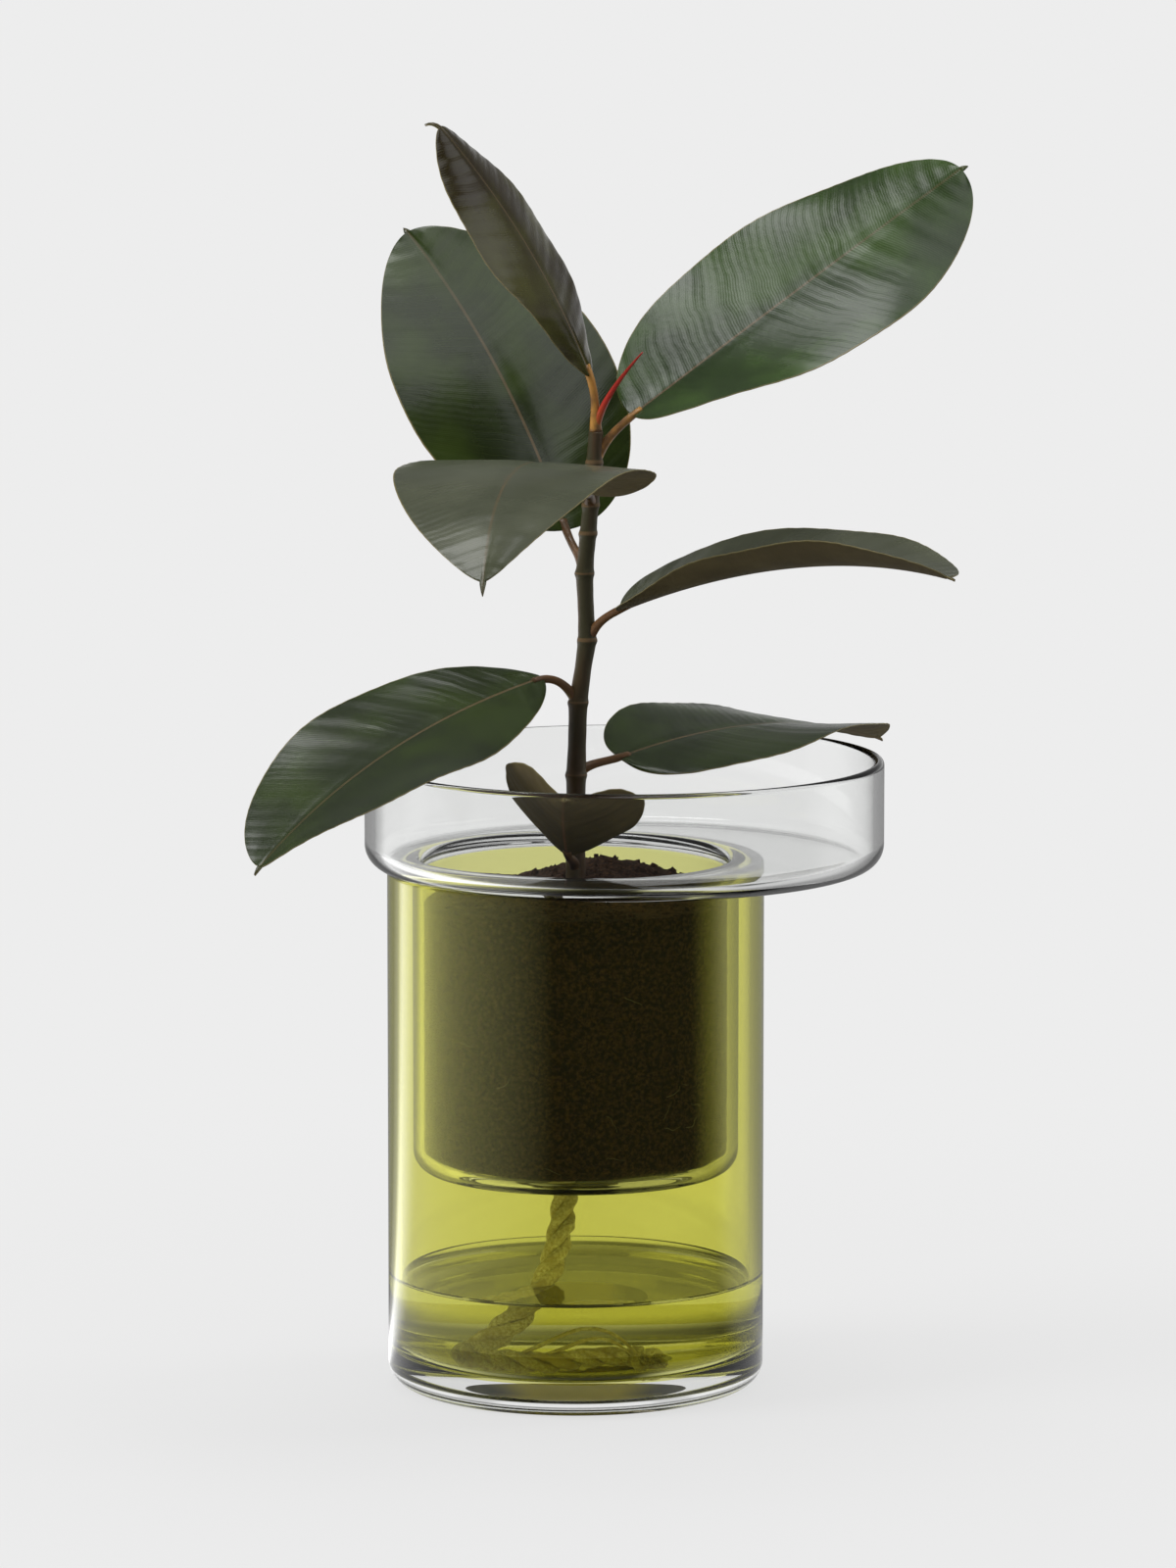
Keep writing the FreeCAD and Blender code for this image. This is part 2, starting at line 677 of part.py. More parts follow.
add_leaf(
    "left_low", (-0.085, -0.039, 0.063), 0.927, 0.783,
    heading=210.5, rise=-12.5, droop=22, swing=19.5, roll=-25.5, twist=29,
    fold=-1.5, close=14, widest=0.99, fullness=0.65,
)
add_leaf(
    "right_low", (0.103, 0.042, 0.036), 0.875, 0.745,
    heading=34, rise=13.5, droop=31, swing=18, roll=21, twist=-32,
    fold=0, close=5.5, widest=0.75, fullness=0.59,
)
add_leaf(
    "front_small", (-0.018, -0.145, 0.059), 0.416, 0.637,
    heading=-94, rise=30, droop=9, swing=6, roll=-13, twist=-2.5,
    fold=24, close=12.5, widest=0.98, fullness=0.56,
)

# Sheath: the red pointed cover of the next leaf, standing on the stem's top

SHEATH_LEAN_SHARES = (0.5, -0.12, 0.86)
SHEATH_START_SHARES = (0.1, -0.05, 1.0)


def sheath_solid():
    start = stem_place(stem_h)
    length = value_of("sheath_length")
    lean = FreeCAD.Vector(*SHEATH_LEAN_SHARES)
    first = FreeCAD.Vector(*SHEATH_START_SHARES)
    curve = Part.BezierCurve()
    curve.setPoles([start, start + first * (length / 3), start + lean * length])
    wide = value_of("sheath_diameter / 2")
    point = value_of("sheath_tip_diameter / 2")
    rows = []
    side = FreeCAD.Vector(0, 1, 0)
    for i in range(SHEATH_RINGS):
        share = i / (SHEATH_RINGS - 1)
        radius = wide + (point - wide) * share**1.5
        row, side = eight_sided(curve.value(share), curve.tangent(share)[0], side, radius)
        rows.append(row)
    return faceted(rows)


sheath = sheath_solid().cut(stem_shape).cut(top_stalk)
add_solid("leaf_sheath", max(sheath.Solids, key=lambda solid: solid.Volume))

doc.recompute()

NODES = ["reservoir_jar", "water", "planter_insert", "wick", "wick_buried_end", "soil", "stem", "leaf_sheath"]
NODES += [o.Label for o in doc.Objects if o.Label.startswith(("leaf_", "petiole_")) and o.Label != "leaf_sheath"]

for thing in doc.Objects:
    if "Invalid" in thing.State or "Error" in thing.State:
        raise RuntimeError("%s failed: %s" % (thing.Label, thing.State))
os.makedirs("parts", exist_ok=True)
for node in NODES:
    shape = doc.getObjectsByLabel(node)[0].Shape
    if shape.isNull() or not shape.isValid() or not shape.Solids:
        raise RuntimeError("%s has no valid solid" % node)
    shape.exportStep("parts/%s.step" % node)
    print("%-24s solids %d volume %.0f" % (node, len(shape.Solids), shape.Volume))
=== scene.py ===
import bpy
import math
import random
from mathutils import Vector, Matrix, noise


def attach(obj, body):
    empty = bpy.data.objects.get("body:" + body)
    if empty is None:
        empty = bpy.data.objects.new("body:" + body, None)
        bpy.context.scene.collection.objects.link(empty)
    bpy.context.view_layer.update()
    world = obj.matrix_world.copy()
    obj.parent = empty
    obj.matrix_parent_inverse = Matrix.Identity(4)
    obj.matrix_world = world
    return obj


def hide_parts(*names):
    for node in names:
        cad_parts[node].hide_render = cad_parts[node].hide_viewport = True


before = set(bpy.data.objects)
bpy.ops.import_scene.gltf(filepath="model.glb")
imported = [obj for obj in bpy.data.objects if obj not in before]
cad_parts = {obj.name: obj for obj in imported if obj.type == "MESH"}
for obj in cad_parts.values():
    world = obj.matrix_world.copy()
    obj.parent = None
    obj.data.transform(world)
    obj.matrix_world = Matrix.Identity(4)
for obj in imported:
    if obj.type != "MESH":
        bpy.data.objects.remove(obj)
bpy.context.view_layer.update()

# Camera: the photograph's own view, through a long lens almost three metres in front. It stands a
# little higher than the plant's top and is tipped down, so that the planter fills a tall frame.

CAMERA_PLACE = (0.0044, -2.900, 0.626)
CAMERA_TIP = math.radians(81.95)
CAMERA_LENS = 189.45

lens = bpy.data.cameras.new("camera")
lens.lens = CAMERA_LENS
lens.sensor_width = 36
lens.clip_end = 100
camera = bpy.data.objects.new("camera", lens)
camera.location = CAMERA_PLACE
camera.rotation_euler = (CAMERA_TIP, 0, 0)
bpy.context.scene.collection.objects.link(camera)
bpy.context.scene.camera = camera
bpy.context.scene.view_settings.view_transform = "Standard"

# Wick: a limp three-strand cotton rope. It hangs from the hole in the well's bottom, lies in a loop
# on the jar's floor under the water, and its cut end has come unlaid and frayed.

WICK_ROUTE = (
    (-0.0040, 0.0000, 0.0772),
    (-0.0040, 0.0000, 0.0665),
    (-0.0050, -0.0055, 0.0565),
    (-0.0075, -0.0125, 0.0470),
    (-0.0115, -0.0185, 0.0385),
    (-0.0175, -0.0225, 0.0290),
    (-0.0255, -0.0240, 0.0215),
    (-0.0320, -0.0270, 0.0173),
    (-0.0357, -0.0330, 0.0165),
    (-0.0350, -0.0400, 0.0177),
    (-0.0304, -0.0452, 0.0185),
    (-0.0235, -0.0470, 0.0174),
    (-0.0155, -0.0475, 0.0165),
    (-0.0080, -0.0445, 0.0157),
    (-0.0015, -0.0385, 0.0157),
    (0.0040, -0.0315, 0.0157),
    (0.0105, -0.0275, 0.0157),
    (0.0178, -0.0284, 0.0157),
    (0.0225, -0.0330, 0.0157),
    (0.0240, -0.0400, 0.0157),
)
WICK_BURIED = 0.0656
STRANDS = 3
STRAND_SIDES = 20
STRAND_RADIUS = 0.00212
STRAND_OFFSET = 0.00252
LAY_PITCH = 0.0285
LINE_STEP = 0.0009
STRAND_WAVER = 0.14
WAVER_SCALE = 140
STRAND_UNEVEN = 0.15
UNEVEN_SCALE = 260
YARNS = 5
YARN_LOBE = 0.10
YARN_LAY = 0.0062
UNLAID = 0.026
UNLAID_SPREAD = 0.0017
UNLAID_DROP = 0.0009
UNLAID_THINNER = 0.12
BURIED_STEPS = 40
FULL_TURN = 2 * math.pi
COTTON = (0.97, 0.94, 0.76, 1)
COTTON_DEEP = (0.56, 0.48, 0.26, 1)


def finish_of(name, colour, roughness, **sockets):
    """A new material whose shader has that colour and roughness, and any other sockets named."""
    material = bpy.data.materials.new(name)
    material.use_nodes = True
    shader = material.node_tree.nodes["Principled BSDF"]
    shader.inputs["Base Color"].default_value = colour
    shader.inputs["Roughness"].default_value = roughness
    for socket, value in sockets.items():
        shader.inputs[socket.replace("_", " ")].default_value = value
    return material


def node(material, kind, **settings):
    """A node of that kind, with properties set by name and inputs by in_ and their number."""
    made = material.node_tree.nodes.new("ShaderNode" + kind)
    for key, value in settings.items():
        if key.startswith("in_"):
            made.inputs[int(key[3:])].default_value = value
        else:
            setattr(made, key, value)
    return made


def wire(material, *joins):
    """Links, each from an output to an input."""
    for out, into in joins:
        material.node_tree.links.new(out, into)


def shader_of(material):
    """The material's main shader node."""
    return material.node_tree.nodes["Principled BSDF"]


def blended(material, factor, low, high):
    """A colour between low and high, which are colours or outputs."""
    mix = node(material, "Mix", data_type="RGBA")
    wire(material, (factor, mix.inputs[0]))
    for socket, colour in ((mix.inputs[6], low), (mix.inputs[7], high)):
        if isinstance(colour, tuple):
            socket.default_value = colour
        else:
            wire(material, (colour, socket))
    return mix.outputs[2]


def number(material, operation, *values, clamp=False):
    """One Math node, whose values are numbers or outputs."""
    made = node(material, "Math", operation=operation, use_clamp=clamp)
    for socket, value in zip(made.inputs, values):
        if isinstance(value, (int, float)):
            socket.default_value = value
        else:
            wire(material, (value, socket))
    return made.outputs[0]


def product(material, one, other, clamp=False):
    """Two numbers or outputs multiplied."""
    return number(material, "MULTIPLY", one, other, clamp=clamp)


def ramp(material, value, low, high, start=0.0, end=1.0):
    """Value taken smoothly from low and high to start and end."""
    made = node(material, "MapRange", interpolation_type="SMOOTHSTEP")
    wire(material, (value, made.inputs[0]))
    for i, setting in enumerate((low, high, start, end), start=1):
        made.inputs[i].default_value = setting
    return made.outputs[0]


def speckle(material, scale, detail=4.0, stretch=(1, 1, 1)):
    """Noise in the object's own space."""
    space = node(material, "TexCoord")
    mapping = node(material, "Mapping")
    mapping.inputs[3].default_value = stretch
    grain = node(material, "TexNoise")
    grain.inputs["Scale"].default_value = scale
    grain.inputs["Detail"].default_value = detail
    wire(material, (space.outputs["Object"], mapping.inputs[0]))
    wire(material, (mapping.outputs[0], grain.inputs["Vector"]))
    return grain.outputs["Fac"]


def raised(material, height, distance, strength=1.0):
    """Bump on the material's shader from a height output."""
    bump = node(material, "Bump")
    bump.inputs["Strength"].default_value = strength
    bump.inputs["Distance"].default_value = distance
    wire(material, (height, bump.inputs["Height"]))
    wire(material, (bump.outputs[0], shader_of(material).inputs["Normal"]))


def coloured(material, factor, low, high):
    """Sets the shader's colour to one between low and high."""
    wire(material, (blended(material, factor, low, high), shader_of(material).inputs["Base Color"]))


def mesh_object(name, points, faces, *materials, indices=None, layers=None):
    """A smooth mesh object. layers gives each point's two numbers in named maps."""
    mesh = bpy.data.meshes.new(name)
    mesh.from_pydata([tuple(p) for p in points], [], faces)
    for material in materials:
        mesh.materials.append(material)
    for i, face in enumerate(mesh.polygons):
        face.use_smooth = True
        if indices:
            face.material_index = indices[i]
    for layer, places in (layers or {}).items():
        uv = mesh.uv_layers.new(name=layer)
        for loop in mesh.loops:
            uv.data[loop.index].uv = places[loop.vertex_index]
    mesh.update()
    made = bpy.data.objects.new(name, mesh)
    bpy.context.scene.collection.objects.link(made)
    return made


def tube_faces(rings, sides, start=0):
    """The side faces and the two flat ends of rings of points, one after another."""
    faces = []
    for i in range(rings - 1):
        for j in range(sides):
            k = (j + 1) % sides
            near, far = start + i * sides, start + (i + 1) * sides
            faces.append((near + j, near + k, far + k, far + j))
    faces.append(tuple(start + j for j in reversed(range(sides))))
    faces.append(tuple(start + (rings - 1) * sides + j for j in range(sides)))
    return faces


def spline_line(name, route):
    """The points of a smooth NURBS line through the air over a route."""
    curve = bpy.data.curves.new(name, "CURVE")
    curve.dimensions = "3D"
    curve.resolution_u = 14
    spline = curve.splines.new("NURBS")
    spline.points.add(len(route) - 1)
    for point, place in zip(spline.points, route):
        point.co = (*place, 1)
    spline.order_u = 3
    spline.use_endpoint_u = True
    holder = bpy.data.objects.new(name, curve)
    bpy.context.scene.collection.objects.link(holder)
    line = bpy.data.meshes.new_from_object(holder)
    places = [vertex.co.copy() for vertex in line.vertices]
    bpy.data.objects.remove(holder)
    bpy.data.curves.remove(curve)
    bpy.data.meshes.remove(line)
    return places


def evenly(places, step):
    """The same line, with points about a step apart, and how far along each one is."""
    run = [0.0]
    for a, b in zip(places, places[1:]):
        run.append(run[-1] + (b - a).length)
    count = max(int(run[-1] / step), 2)
    spaced = []
    i = 0
    for n in range(count + 1):
        want = run[-1] * n / count
        while i < len(run) - 2 and run[i + 1] < want:
            i += 1
        share = (want - run[i]) / max(run[i + 1] - run[i], 1e-9)
        spaced.append(places[i].lerp(places[i + 1], share))
    return spaced, [run[-1] * n / count for n in range(count + 1)]


def carried(places, side=Vector((1, 0, 0))):
    """Ahead, side and up at each point, turned no more than the line turns."""
    frames = []
    for i in range(len(places)):
        ahead = (places[min(i + 1, len(places) - 1)] - places[max(i - 1, 0)]).normalized()
        side = (side - ahead * side.dot(ahead)).normalized()
        frames.append((ahead, side, ahead.cross(side)))
    return frames


def towards(side, up, angle):
    """The direction at an angle from side round to up."""
    return side * math.cos(angle) + up * math.sin(angle)


def rope(name, places, phase, unlaid=0.0):
    """Three strands of lobed yarn laid round a line. They part over the unlaid end."""
    line, along = evenly(places, LINE_STEP)
    frames = carried(line)
    laid = along[-1] - unlaid
    partings = [max(0.0, (run - laid) / unlaid) if unlaid else 0.0 for run in along]
    points, faces = [], []
    for strand in range(STRANDS):
        start = len(points)
        centres = []
        for place, run, parting, (_, side, up) in zip(line, along, partings, frames):
            turn = phase + FULL_TURN * (run / LAY_PITCH + strand / STRANDS)
            waver = noise.noise(Vector((run * WAVER_SCALE, strand * 7.3, phase)))
            offset = STRAND_OFFSET * (1 + STRAND_WAVER * waver) + UNLAID_SPREAD * parting**1.4
            sunk = Vector((0, 0, UNLAID_DROP * parting))
            centres.append(place + towards(side, up, turn) * offset - sunk)
        for centre, run, parting, (_, side, up) in zip(centres, along, partings, carried(centres)):
            uneven = noise.noise(Vector((run * UNEVEN_SCALE, strand * 3.1, 5 + phase)))
            fat = 1 + STRAND_UNEVEN * uneven - UNLAID_THINNER * parting
            for j in range(STRAND_SIDES):
                around = FULL_TURN * j / STRAND_SIDES
                lobe = 1 + YARN_LOBE * math.cos(YARNS * around - FULL_TURN * run / YARN_LAY)
                points.append(centre + towards(side, up, around) * (STRAND_RADIUS * fat * lobe))
        faces += tube_faces(len(line), STRAND_SIDES, start)
    return mesh_object(name, points, faces, cotton), line


cotton = finish_of("natural_cotton", COTTON, 0.92, Sheen_Weight=0.25, Sheen_Roughness=0.6)
fibre = speckle(cotton, 900, 5)
patch = speckle(cotton, 120, 3)
clean = product(cotton, ramp(cotton, fibre, 0.3, 0.7), ramp(cotton, patch, 0.25, 0.6))
coloured(cotton, clean, COTTON_DEEP, COTTON)
raised(cotton, fibre, 0.0004, 0.7)

wick_strands, wick_line = rope("wick_strands", spline_line("wick_route", WICK_ROUTE), 0.0, UNLAID)
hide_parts("wick")
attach(wick_strands, "insert")

buried_foot = Vector(WICK_ROUTE[0])
buried_rise = [WICK_BURIED * i / BURIED_STEPS for i in range(BURIED_STEPS + 1)]
buried_places = [buried_foot + Vector((0, 0, rise)) for rise in buried_rise]
wick_buried_strands, _ = rope("wick_buried_strands", buried_places, 0.0)
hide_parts("wick_buried_end")
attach(wick_buried_strands, "insert")

# Frayed end: the short loose yarns that have worked out of the wick's cut end, and two long ones
# that have come away from the rope and arch over it under the water. They are the wick's own cotton.

FRAY_YARNS = 38
FRAY_RADIUS = 0.00042
FRAY_SIDES = 7
FRAY_STEPS = 7
FRAY_ROOT = 0.004
FRAY_WIDE = 0.0030
FRAY_HIGH = 0.0022
FRAY_SPLAY = 0.0022
FRAY_REACH = (0.0050, 0.0100)
FRAY_DROOP = (-0.0015, 0.001)
FRAY_ARCH = (0, 0.0012)
LOOSE_RADIUS = 0.0008
LOOSE_STEP = 0.0008
LOOSE_SIDES = 10
LOOSE_YARNS = (
    ((-0.0190, -0.0465, 0.0195), (-0.0120, -0.0440, 0.0228), (-0.0050, -0.0400, 0.0260),
     (0.0020, -0.0360, 0.0284), (0.0095, -0.0335, 0.0272), (0.0160, -0.0345, 0.0225),
     (0.0205, -0.0380, 0.0165), (0.0232, -0.0410, 0.0133)),
    ((-0.0110, -0.0460, 0.0190), (-0.0050, -0.0425, 0.0212), (0.0020, -0.0385, 0.0242),
     (0.0085, -0.0355, 0.0248), (0.0145, -0.0345, 0.0215), (0.0185, -0.0350, 0.0165)),
)


def pulled(pulls, steps):
    """A smooth line from the first point to the last, drawn towards the points between them."""
    line = []
    for i in range(steps + 1):
        left = list(pulls)
        while len(left) > 1:
            left = [a.lerp(b, i / steps) for a, b in zip(left, left[1:])]
        line.append(left[0])
    return line


def yarn(points, faces, line, radius, sides):
    """One round yarn along a line, added to points and faces. It thins to half at its end."""
    start = len(points)
    for i, (place, (_, side, up)) in enumerate(zip(line, carried(line))):
        thin = radius * (1 - 0.5 * (i / (len(line) - 1))**2)
        for j in range(sides):
            points.append(place + towards(side, up, FULL_TURN * j / sides) * thin)
    faces += tube_faces(len(line), sides, start)


random.seed(11)
fray_points, fray_faces = [], []
end_at = wick_line[-1]
end_ahead = (wick_line[-1] - wick_line[-4]).normalized()
end_side = end_ahead.cross(Vector((0, 0, 1))).normalized()
for n in range(FRAY_YARNS):
    spread = random.uniform(-1, 1)
    rise = random.uniform(-0.5, 1)
    root = end_at - end_ahead * FRAY_ROOT + end_side * FRAY_WIDE * spread
    root += Vector((0, 0, FRAY_HIGH * rise))
    tip = root + end_ahead * random.uniform(*FRAY_REACH) + end_side * FRAY_SPLAY * spread
    tip += Vector((0, 0, random.uniform(*FRAY_DROOP)))
    middle = root.lerp(tip, 0.5) + Vector((0, 0, random.uniform(*FRAY_ARCH)))
    line = pulled((root, middle, tip), FRAY_STEPS)
    yarn(fray_points, fray_faces, line, FRAY_RADIUS * random.uniform(0.7, 1.2), FRAY_SIDES)
for route in LOOSE_YARNS:
    loose_line, _ = evenly(spline_line("loose_yarn_route", route), LOOSE_STEP)
    yarn(fray_points, fray_faces, loose_line, LOOSE_RADIUS, LOOSE_SIDES)
wick_fray = mesh_object("wick_fray", fray_points, fray_faces, cotton)
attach(wick_fray, "insert")

# Jar: a thick-based glass cylinder, clear glass cased in olive green. The wall is green up to its
# rim and the bowl's floor is green too. The foot stays clear. Under the middle of the jar an opaque
# patch is painted in its bottom face: painted shade, dark at its ends, with a painted reflection of
# the olive bowl in its middle.

ROUND_STEPS = 12
GLASS_SIDES = 160
JAR_RADIUS = 0.067
JAR_HEIGHT = 0.1865
JAR_WALL = 0.0047
JAR_BASE = 0.011
JAR_FOOT_ROUND = 0.0085
JAR_FLOOR_ROUND = 0.014
JAR_RIM_ROUND = 0.0018
SEAT_GAP = 0.00005
LONG_RUN = 0.003
GUARD = 0.0003
HUB = 0.012
NEAR = 0.0005
GLASS_IOR = 1.5
CLEAR = (0.985, 0.99, 0.985, 1)
OLIVE = (0.68, 0.66, 0.10, 1)
OLIVE_FLOOR = (0.59, 0.57, 0.19, 1)
CLEAR_FOOT = 0.0125
# The patch of painted shade and painted reflection under the foot: its radius, where the painted
# olive reflection fades to the painted shade, and its two colours.
BASE_PAINTED_PATCH = 0.026
BASE_REFLECTION_HALF = (0.009, 0.020)
BASE_PAINTED_SHADE = (0.045, 0.040, 0.030, 1)
BASE_PAINTED_REFLECTION = (0.95, 0.80, 0.10, 1)


def arc(across, radius, height, size, start, end):
    """Rings of a rounded corner: its centre's radius and height, its size, and two angles in degrees
    from straight out, with up as 90."""
    rings = []
    for i in range(ROUND_STEPS + 1):
        angle = math.radians(start + (end - start) * i / ROUND_STEPS)
        rings.append((across, radius + size * math.cos(angle), height + size * math.sin(angle)))
    return rings


def guarded(rings):
    """The rings, with one more close to each end of every long straight run, so that the roundings'
    shading stays out of the flat glass between them."""
    kept = [rings[0]]
    for low, high in zip(rings, rings[1:]):
        run = math.dist(low, high)
        if run > LONG_RUN:
            for share in (GUARD / run, 1 - GUARD / run):
                kept.append(tuple(a + (b - a) * share for a, b in zip(low, high)))
        kept.append(high)
    return kept


def turned(name, rings, materials, band=lambda radius, height: 0, closed=False):
    """Glass through rings of (centre's X, radius, height). Ends close on a point, or ring to ring.
    band gives a face's material by its radius and height."""
    points, faces, indices = [], [], []
    rings = guarded(rings)
    for across, radius, height in rings:
        for j in range(GLASS_SIDES):
            around = FULL_TURN * j / GLASS_SIDES
            x, y = across + radius * math.cos(around), radius * math.sin(around)
            points.append(Vector((x, y, height)))
    count = len(rings)
    for i in range(count if closed else count - 1):
        after = (i + 1) % count
        kind = band((rings[i][1] + rings[after][1]) / 2, (rings[i][2] + rings[after][2]) / 2)
        low, high = i * GLASS_SIDES, after * GLASS_SIDES
        for j in range(GLASS_SIDES):
            k = (j + 1) % GLASS_SIDES
            faces.append((low + j, low + k, high + k, high + j))
            indices.append(kind)
    if not closed:
        for i, ring in ((0, rings[0]), (count - 1, rings[-1])):
            points.append(Vector((ring[0], 0, ring[2])))
            middle = len(points) - 1
            for j in range(GLASS_SIDES):
                k = (j + 1) % GLASS_SIDES
                a, b = i * GLASS_SIDES + j, i * GLASS_SIDES + k
                faces.append((middle, b, a) if i == 0 else (middle, a, b))
                indices.append(band(ring[1] / 2, ring[2]))
    return mesh_object(name, points, faces, *materials, indices=indices)


def parts_of(material, vector):
    """The X, Y and Z of a vector output."""
    split = node(material, "SeparateXYZ")
    wire(material, (vector, split.inputs[0]))
    return split.outputs[:]


def see_through(name, tint, ior=GLASS_IOR):
    """Smooth glass, or water with its own ior."""
    return finish_of(name, tint, 0.0, Transmission_Weight=1.0, IOR=ior)


clear_glass = see_through("clear_glass", CLEAR)
olive_glass = see_through("olive_glass", OLIVE)
floor_glass = see_through("olive_floor_glass", OLIVE_FLOOR)

# Painted shade and painted reflection: an opaque patch under the foot, dark at its ends, olive in its
# middle.
painted_base_patch = finish_of("jar_painted_shade_and_reflection", BASE_PAINTED_SHADE, 0.5)
spot = parts_of(painted_base_patch, node(painted_base_patch, "TexCoord").outputs["Object"])
sideways = number(painted_base_patch, "ABSOLUTE", spot[0])
coloured(painted_base_patch, ramp(painted_base_patch, sideways, *BASE_REFLECTION_HALF, 1.0, 0.0), BASE_PAINTED_SHADE, BASE_PAINTED_REFLECTION)

bore = JAR_RADIUS - JAR_WALL
jar_outer = [(0, HUB, 0.0), (0, BASE_PAINTED_PATCH, 0.0)]
jar_outer += arc(0, JAR_RADIUS - JAR_FOOT_ROUND, JAR_FOOT_ROUND, JAR_FOOT_ROUND, -90, 0)
jar_outer += [(0, JAR_RADIUS, CLEAR_FOOT)]
jar_top = JAR_HEIGHT - SEAT_GAP - JAR_RIM_ROUND
jar_outer += arc(0, JAR_RADIUS - JAR_RIM_ROUND, jar_top, JAR_RIM_ROUND, 0, 90)
jar_inner = arc(0, bore + JAR_RIM_ROUND, jar_top, JAR_RIM_ROUND, 90, 180)
jar_inner += arc(0, bore - JAR_FLOOR_ROUND, JAR_BASE + JAR_FLOOR_ROUND, JAR_FLOOR_ROUND, 0, -90)
jar_inner += [(0, HUB, JAR_BASE)]


def jar_tint(radius, height):
    """Olive on the outer wall over the foot (1), the bowl's floor (2), and the painted shade and
    reflection patch (3).
    """
    if radius > JAR_RADIUS - NEAR and height > CLEAR_FOOT:
        return 1
    if radius < BASE_PAINTED_PATCH and height < NEAR:
        return 3
    in_bowl = radius < bore - NEAR and JAR_BASE - NEAR < height < JAR_BASE + JAR_FLOOR_ROUND
    return 2 if in_bowl else 0


jar_glass = turned(
    "jar_glass", jar_outer + jar_inner, (clear_glass, olive_glass, floor_glass, painted_base_patch), jar_tint,
)
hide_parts("reservoir_jar")
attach(jar_glass, "jar")

# Water: about 28 mm deep in the jar's bowl, clear with a faint green tint. It wets the glass, and its
# edge is drawn a little way up it.

WATER_LEVEL = 0.0391
WETTED = 0.00012
MENISCUS = 0.0016
MENISCUS_SPAN = 1.6
WATER_MIDDLE = 0.045
WATER_IOR = 1.333
WATER_TINT = (0.97, 0.985, 0.95, 1)

still_water = see_through("still_water", WATER_TINT, WATER_IOR)
water_edge = bore + WETTED
water_rings = [(0, HUB, JAR_BASE - WETTED)]
water_rings += arc(
    0, bore - JAR_FLOOR_ROUND, JAR_BASE + JAR_FLOOR_ROUND, JAR_FLOOR_ROUND + WETTED, -90, 0,
)
water_rings += [(0, water_edge, WATER_LEVEL + MENISCUS)]
for share in (0.2, 0.45, 0.7, 0.9, 1.0):
    rise = MENISCUS * (1 - share)**2
    water_rings.append((0, water_edge - MENISCUS * MENISCUS_SPAN * share, WATER_LEVEL + rise))
water_rings += [(0, WATER_MIDDLE, WATER_LEVEL), (0, HUB, WATER_LEVEL)]
jar_water = turned("jar_water", water_rings, (still_water,))
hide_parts("water")
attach(jar_water, "jar")

# Insert: a wide shallow dish set off to one side, and the well that hangs from it inside the jar,
# made in one piece of clear glass. The wick comes out through a hole in the well's bottom.

DISH_ACROSS = 0.0173
DISH_RADIUS = 0.09225
DISH_WALL = 0.0036
DISH_FLOOR = JAR_HEIGHT + 0.004
DISH_RIM = JAR_HEIGHT + 0.0385
DISH_CORNER = 0.0085
DISH_INNER = 0.005
WELL_RADIUS = 0.058
WELL_WALL = 0.0035
WELL_FOOT = 0.0772
WELL_FLOOR = WELL_FOOT + 0.0036
WELL_CORNER = 0.009
WELL_INNER = 0.006
WELL_LIP = 0.003
WELL_NECK = 0.0025
HOLE_ACROSS = -0.004
HOLE_RADIUS = 0.0046

insert_glass = see_through("insert_glass", CLEAR)
well_bore = WELL_RADIUS - WELL_WALL
rim_round = DISH_WALL / 2
insert_rings = [(HOLE_ACROSS, HOLE_RADIUS, WELL_FOOT)]
insert_rings += arc(0, WELL_RADIUS - WELL_CORNER, WELL_FOOT + WELL_CORNER, WELL_CORNER, -90, 0)
insert_rings += arc(0, WELL_RADIUS + WELL_NECK, JAR_HEIGHT - WELL_NECK, WELL_NECK, 180, 90)
insert_rings += arc(DISH_ACROSS, DISH_RADIUS - DISH_CORNER, JAR_HEIGHT + DISH_CORNER, DISH_CORNER, -90, 0)
insert_rings += arc(DISH_ACROSS, DISH_RADIUS - rim_round, DISH_RIM - rim_round, rim_round, 0, 180)
dish_bore = DISH_RADIUS - DISH_WALL
insert_rings += arc(DISH_ACROSS, dish_bore - DISH_INNER, DISH_FLOOR + DISH_INNER, DISH_INNER, 0, -90)
insert_rings += arc(0, well_bore + WELL_LIP, DISH_FLOOR - WELL_LIP, WELL_LIP, 90, 180)
insert_rings += arc(0, well_bore - WELL_INNER, WELL_FLOOR + WELL_INNER, WELL_INNER, 0, -90)
insert_rings += [(HOLE_ACROSS, HOLE_RADIUS, WELL_FLOOR)]
insert_body = turned("insert_body", insert_rings, (insert_glass,), closed=True)
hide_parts("planter_insert")
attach(insert_body, "insert")

# Soil: a damp root ball of dark peat, pressed to the well's shape and held by it, with a crumbly
# mound heaped behind the stem.

SOIL_RADIUS = 0.0541
SOIL_FOOT = 0.0812
SOIL_TOP = 0.1765
SOIL_ROUND = 0.0056
MOUND_PLACE = Vector((0.010, 0.016, 0))
MOUND_RADIUS = 0.042
MOUND_HEIGHT = 0.0125
MOUND_SLUMP = 0.9
SOIL_SIDES = 180
SOIL_ROWS = 40
TOP_ROWS = 26
PRESSED = (0.0007, 90)
GRAIN = (0.0004, 330)
HOLLOWS = (0.0018, 34)
CLODS = (0.0016, 120)
LOOSE_GRAIN = (0.0010, 330)
SOIL_EDGE = 0.004
SETTLED = 0.0012
PEAT = (0.036, 0.020, 0.012, 1)
PEAT_BROWN = (0.17, 0.088, 0.042, 1)


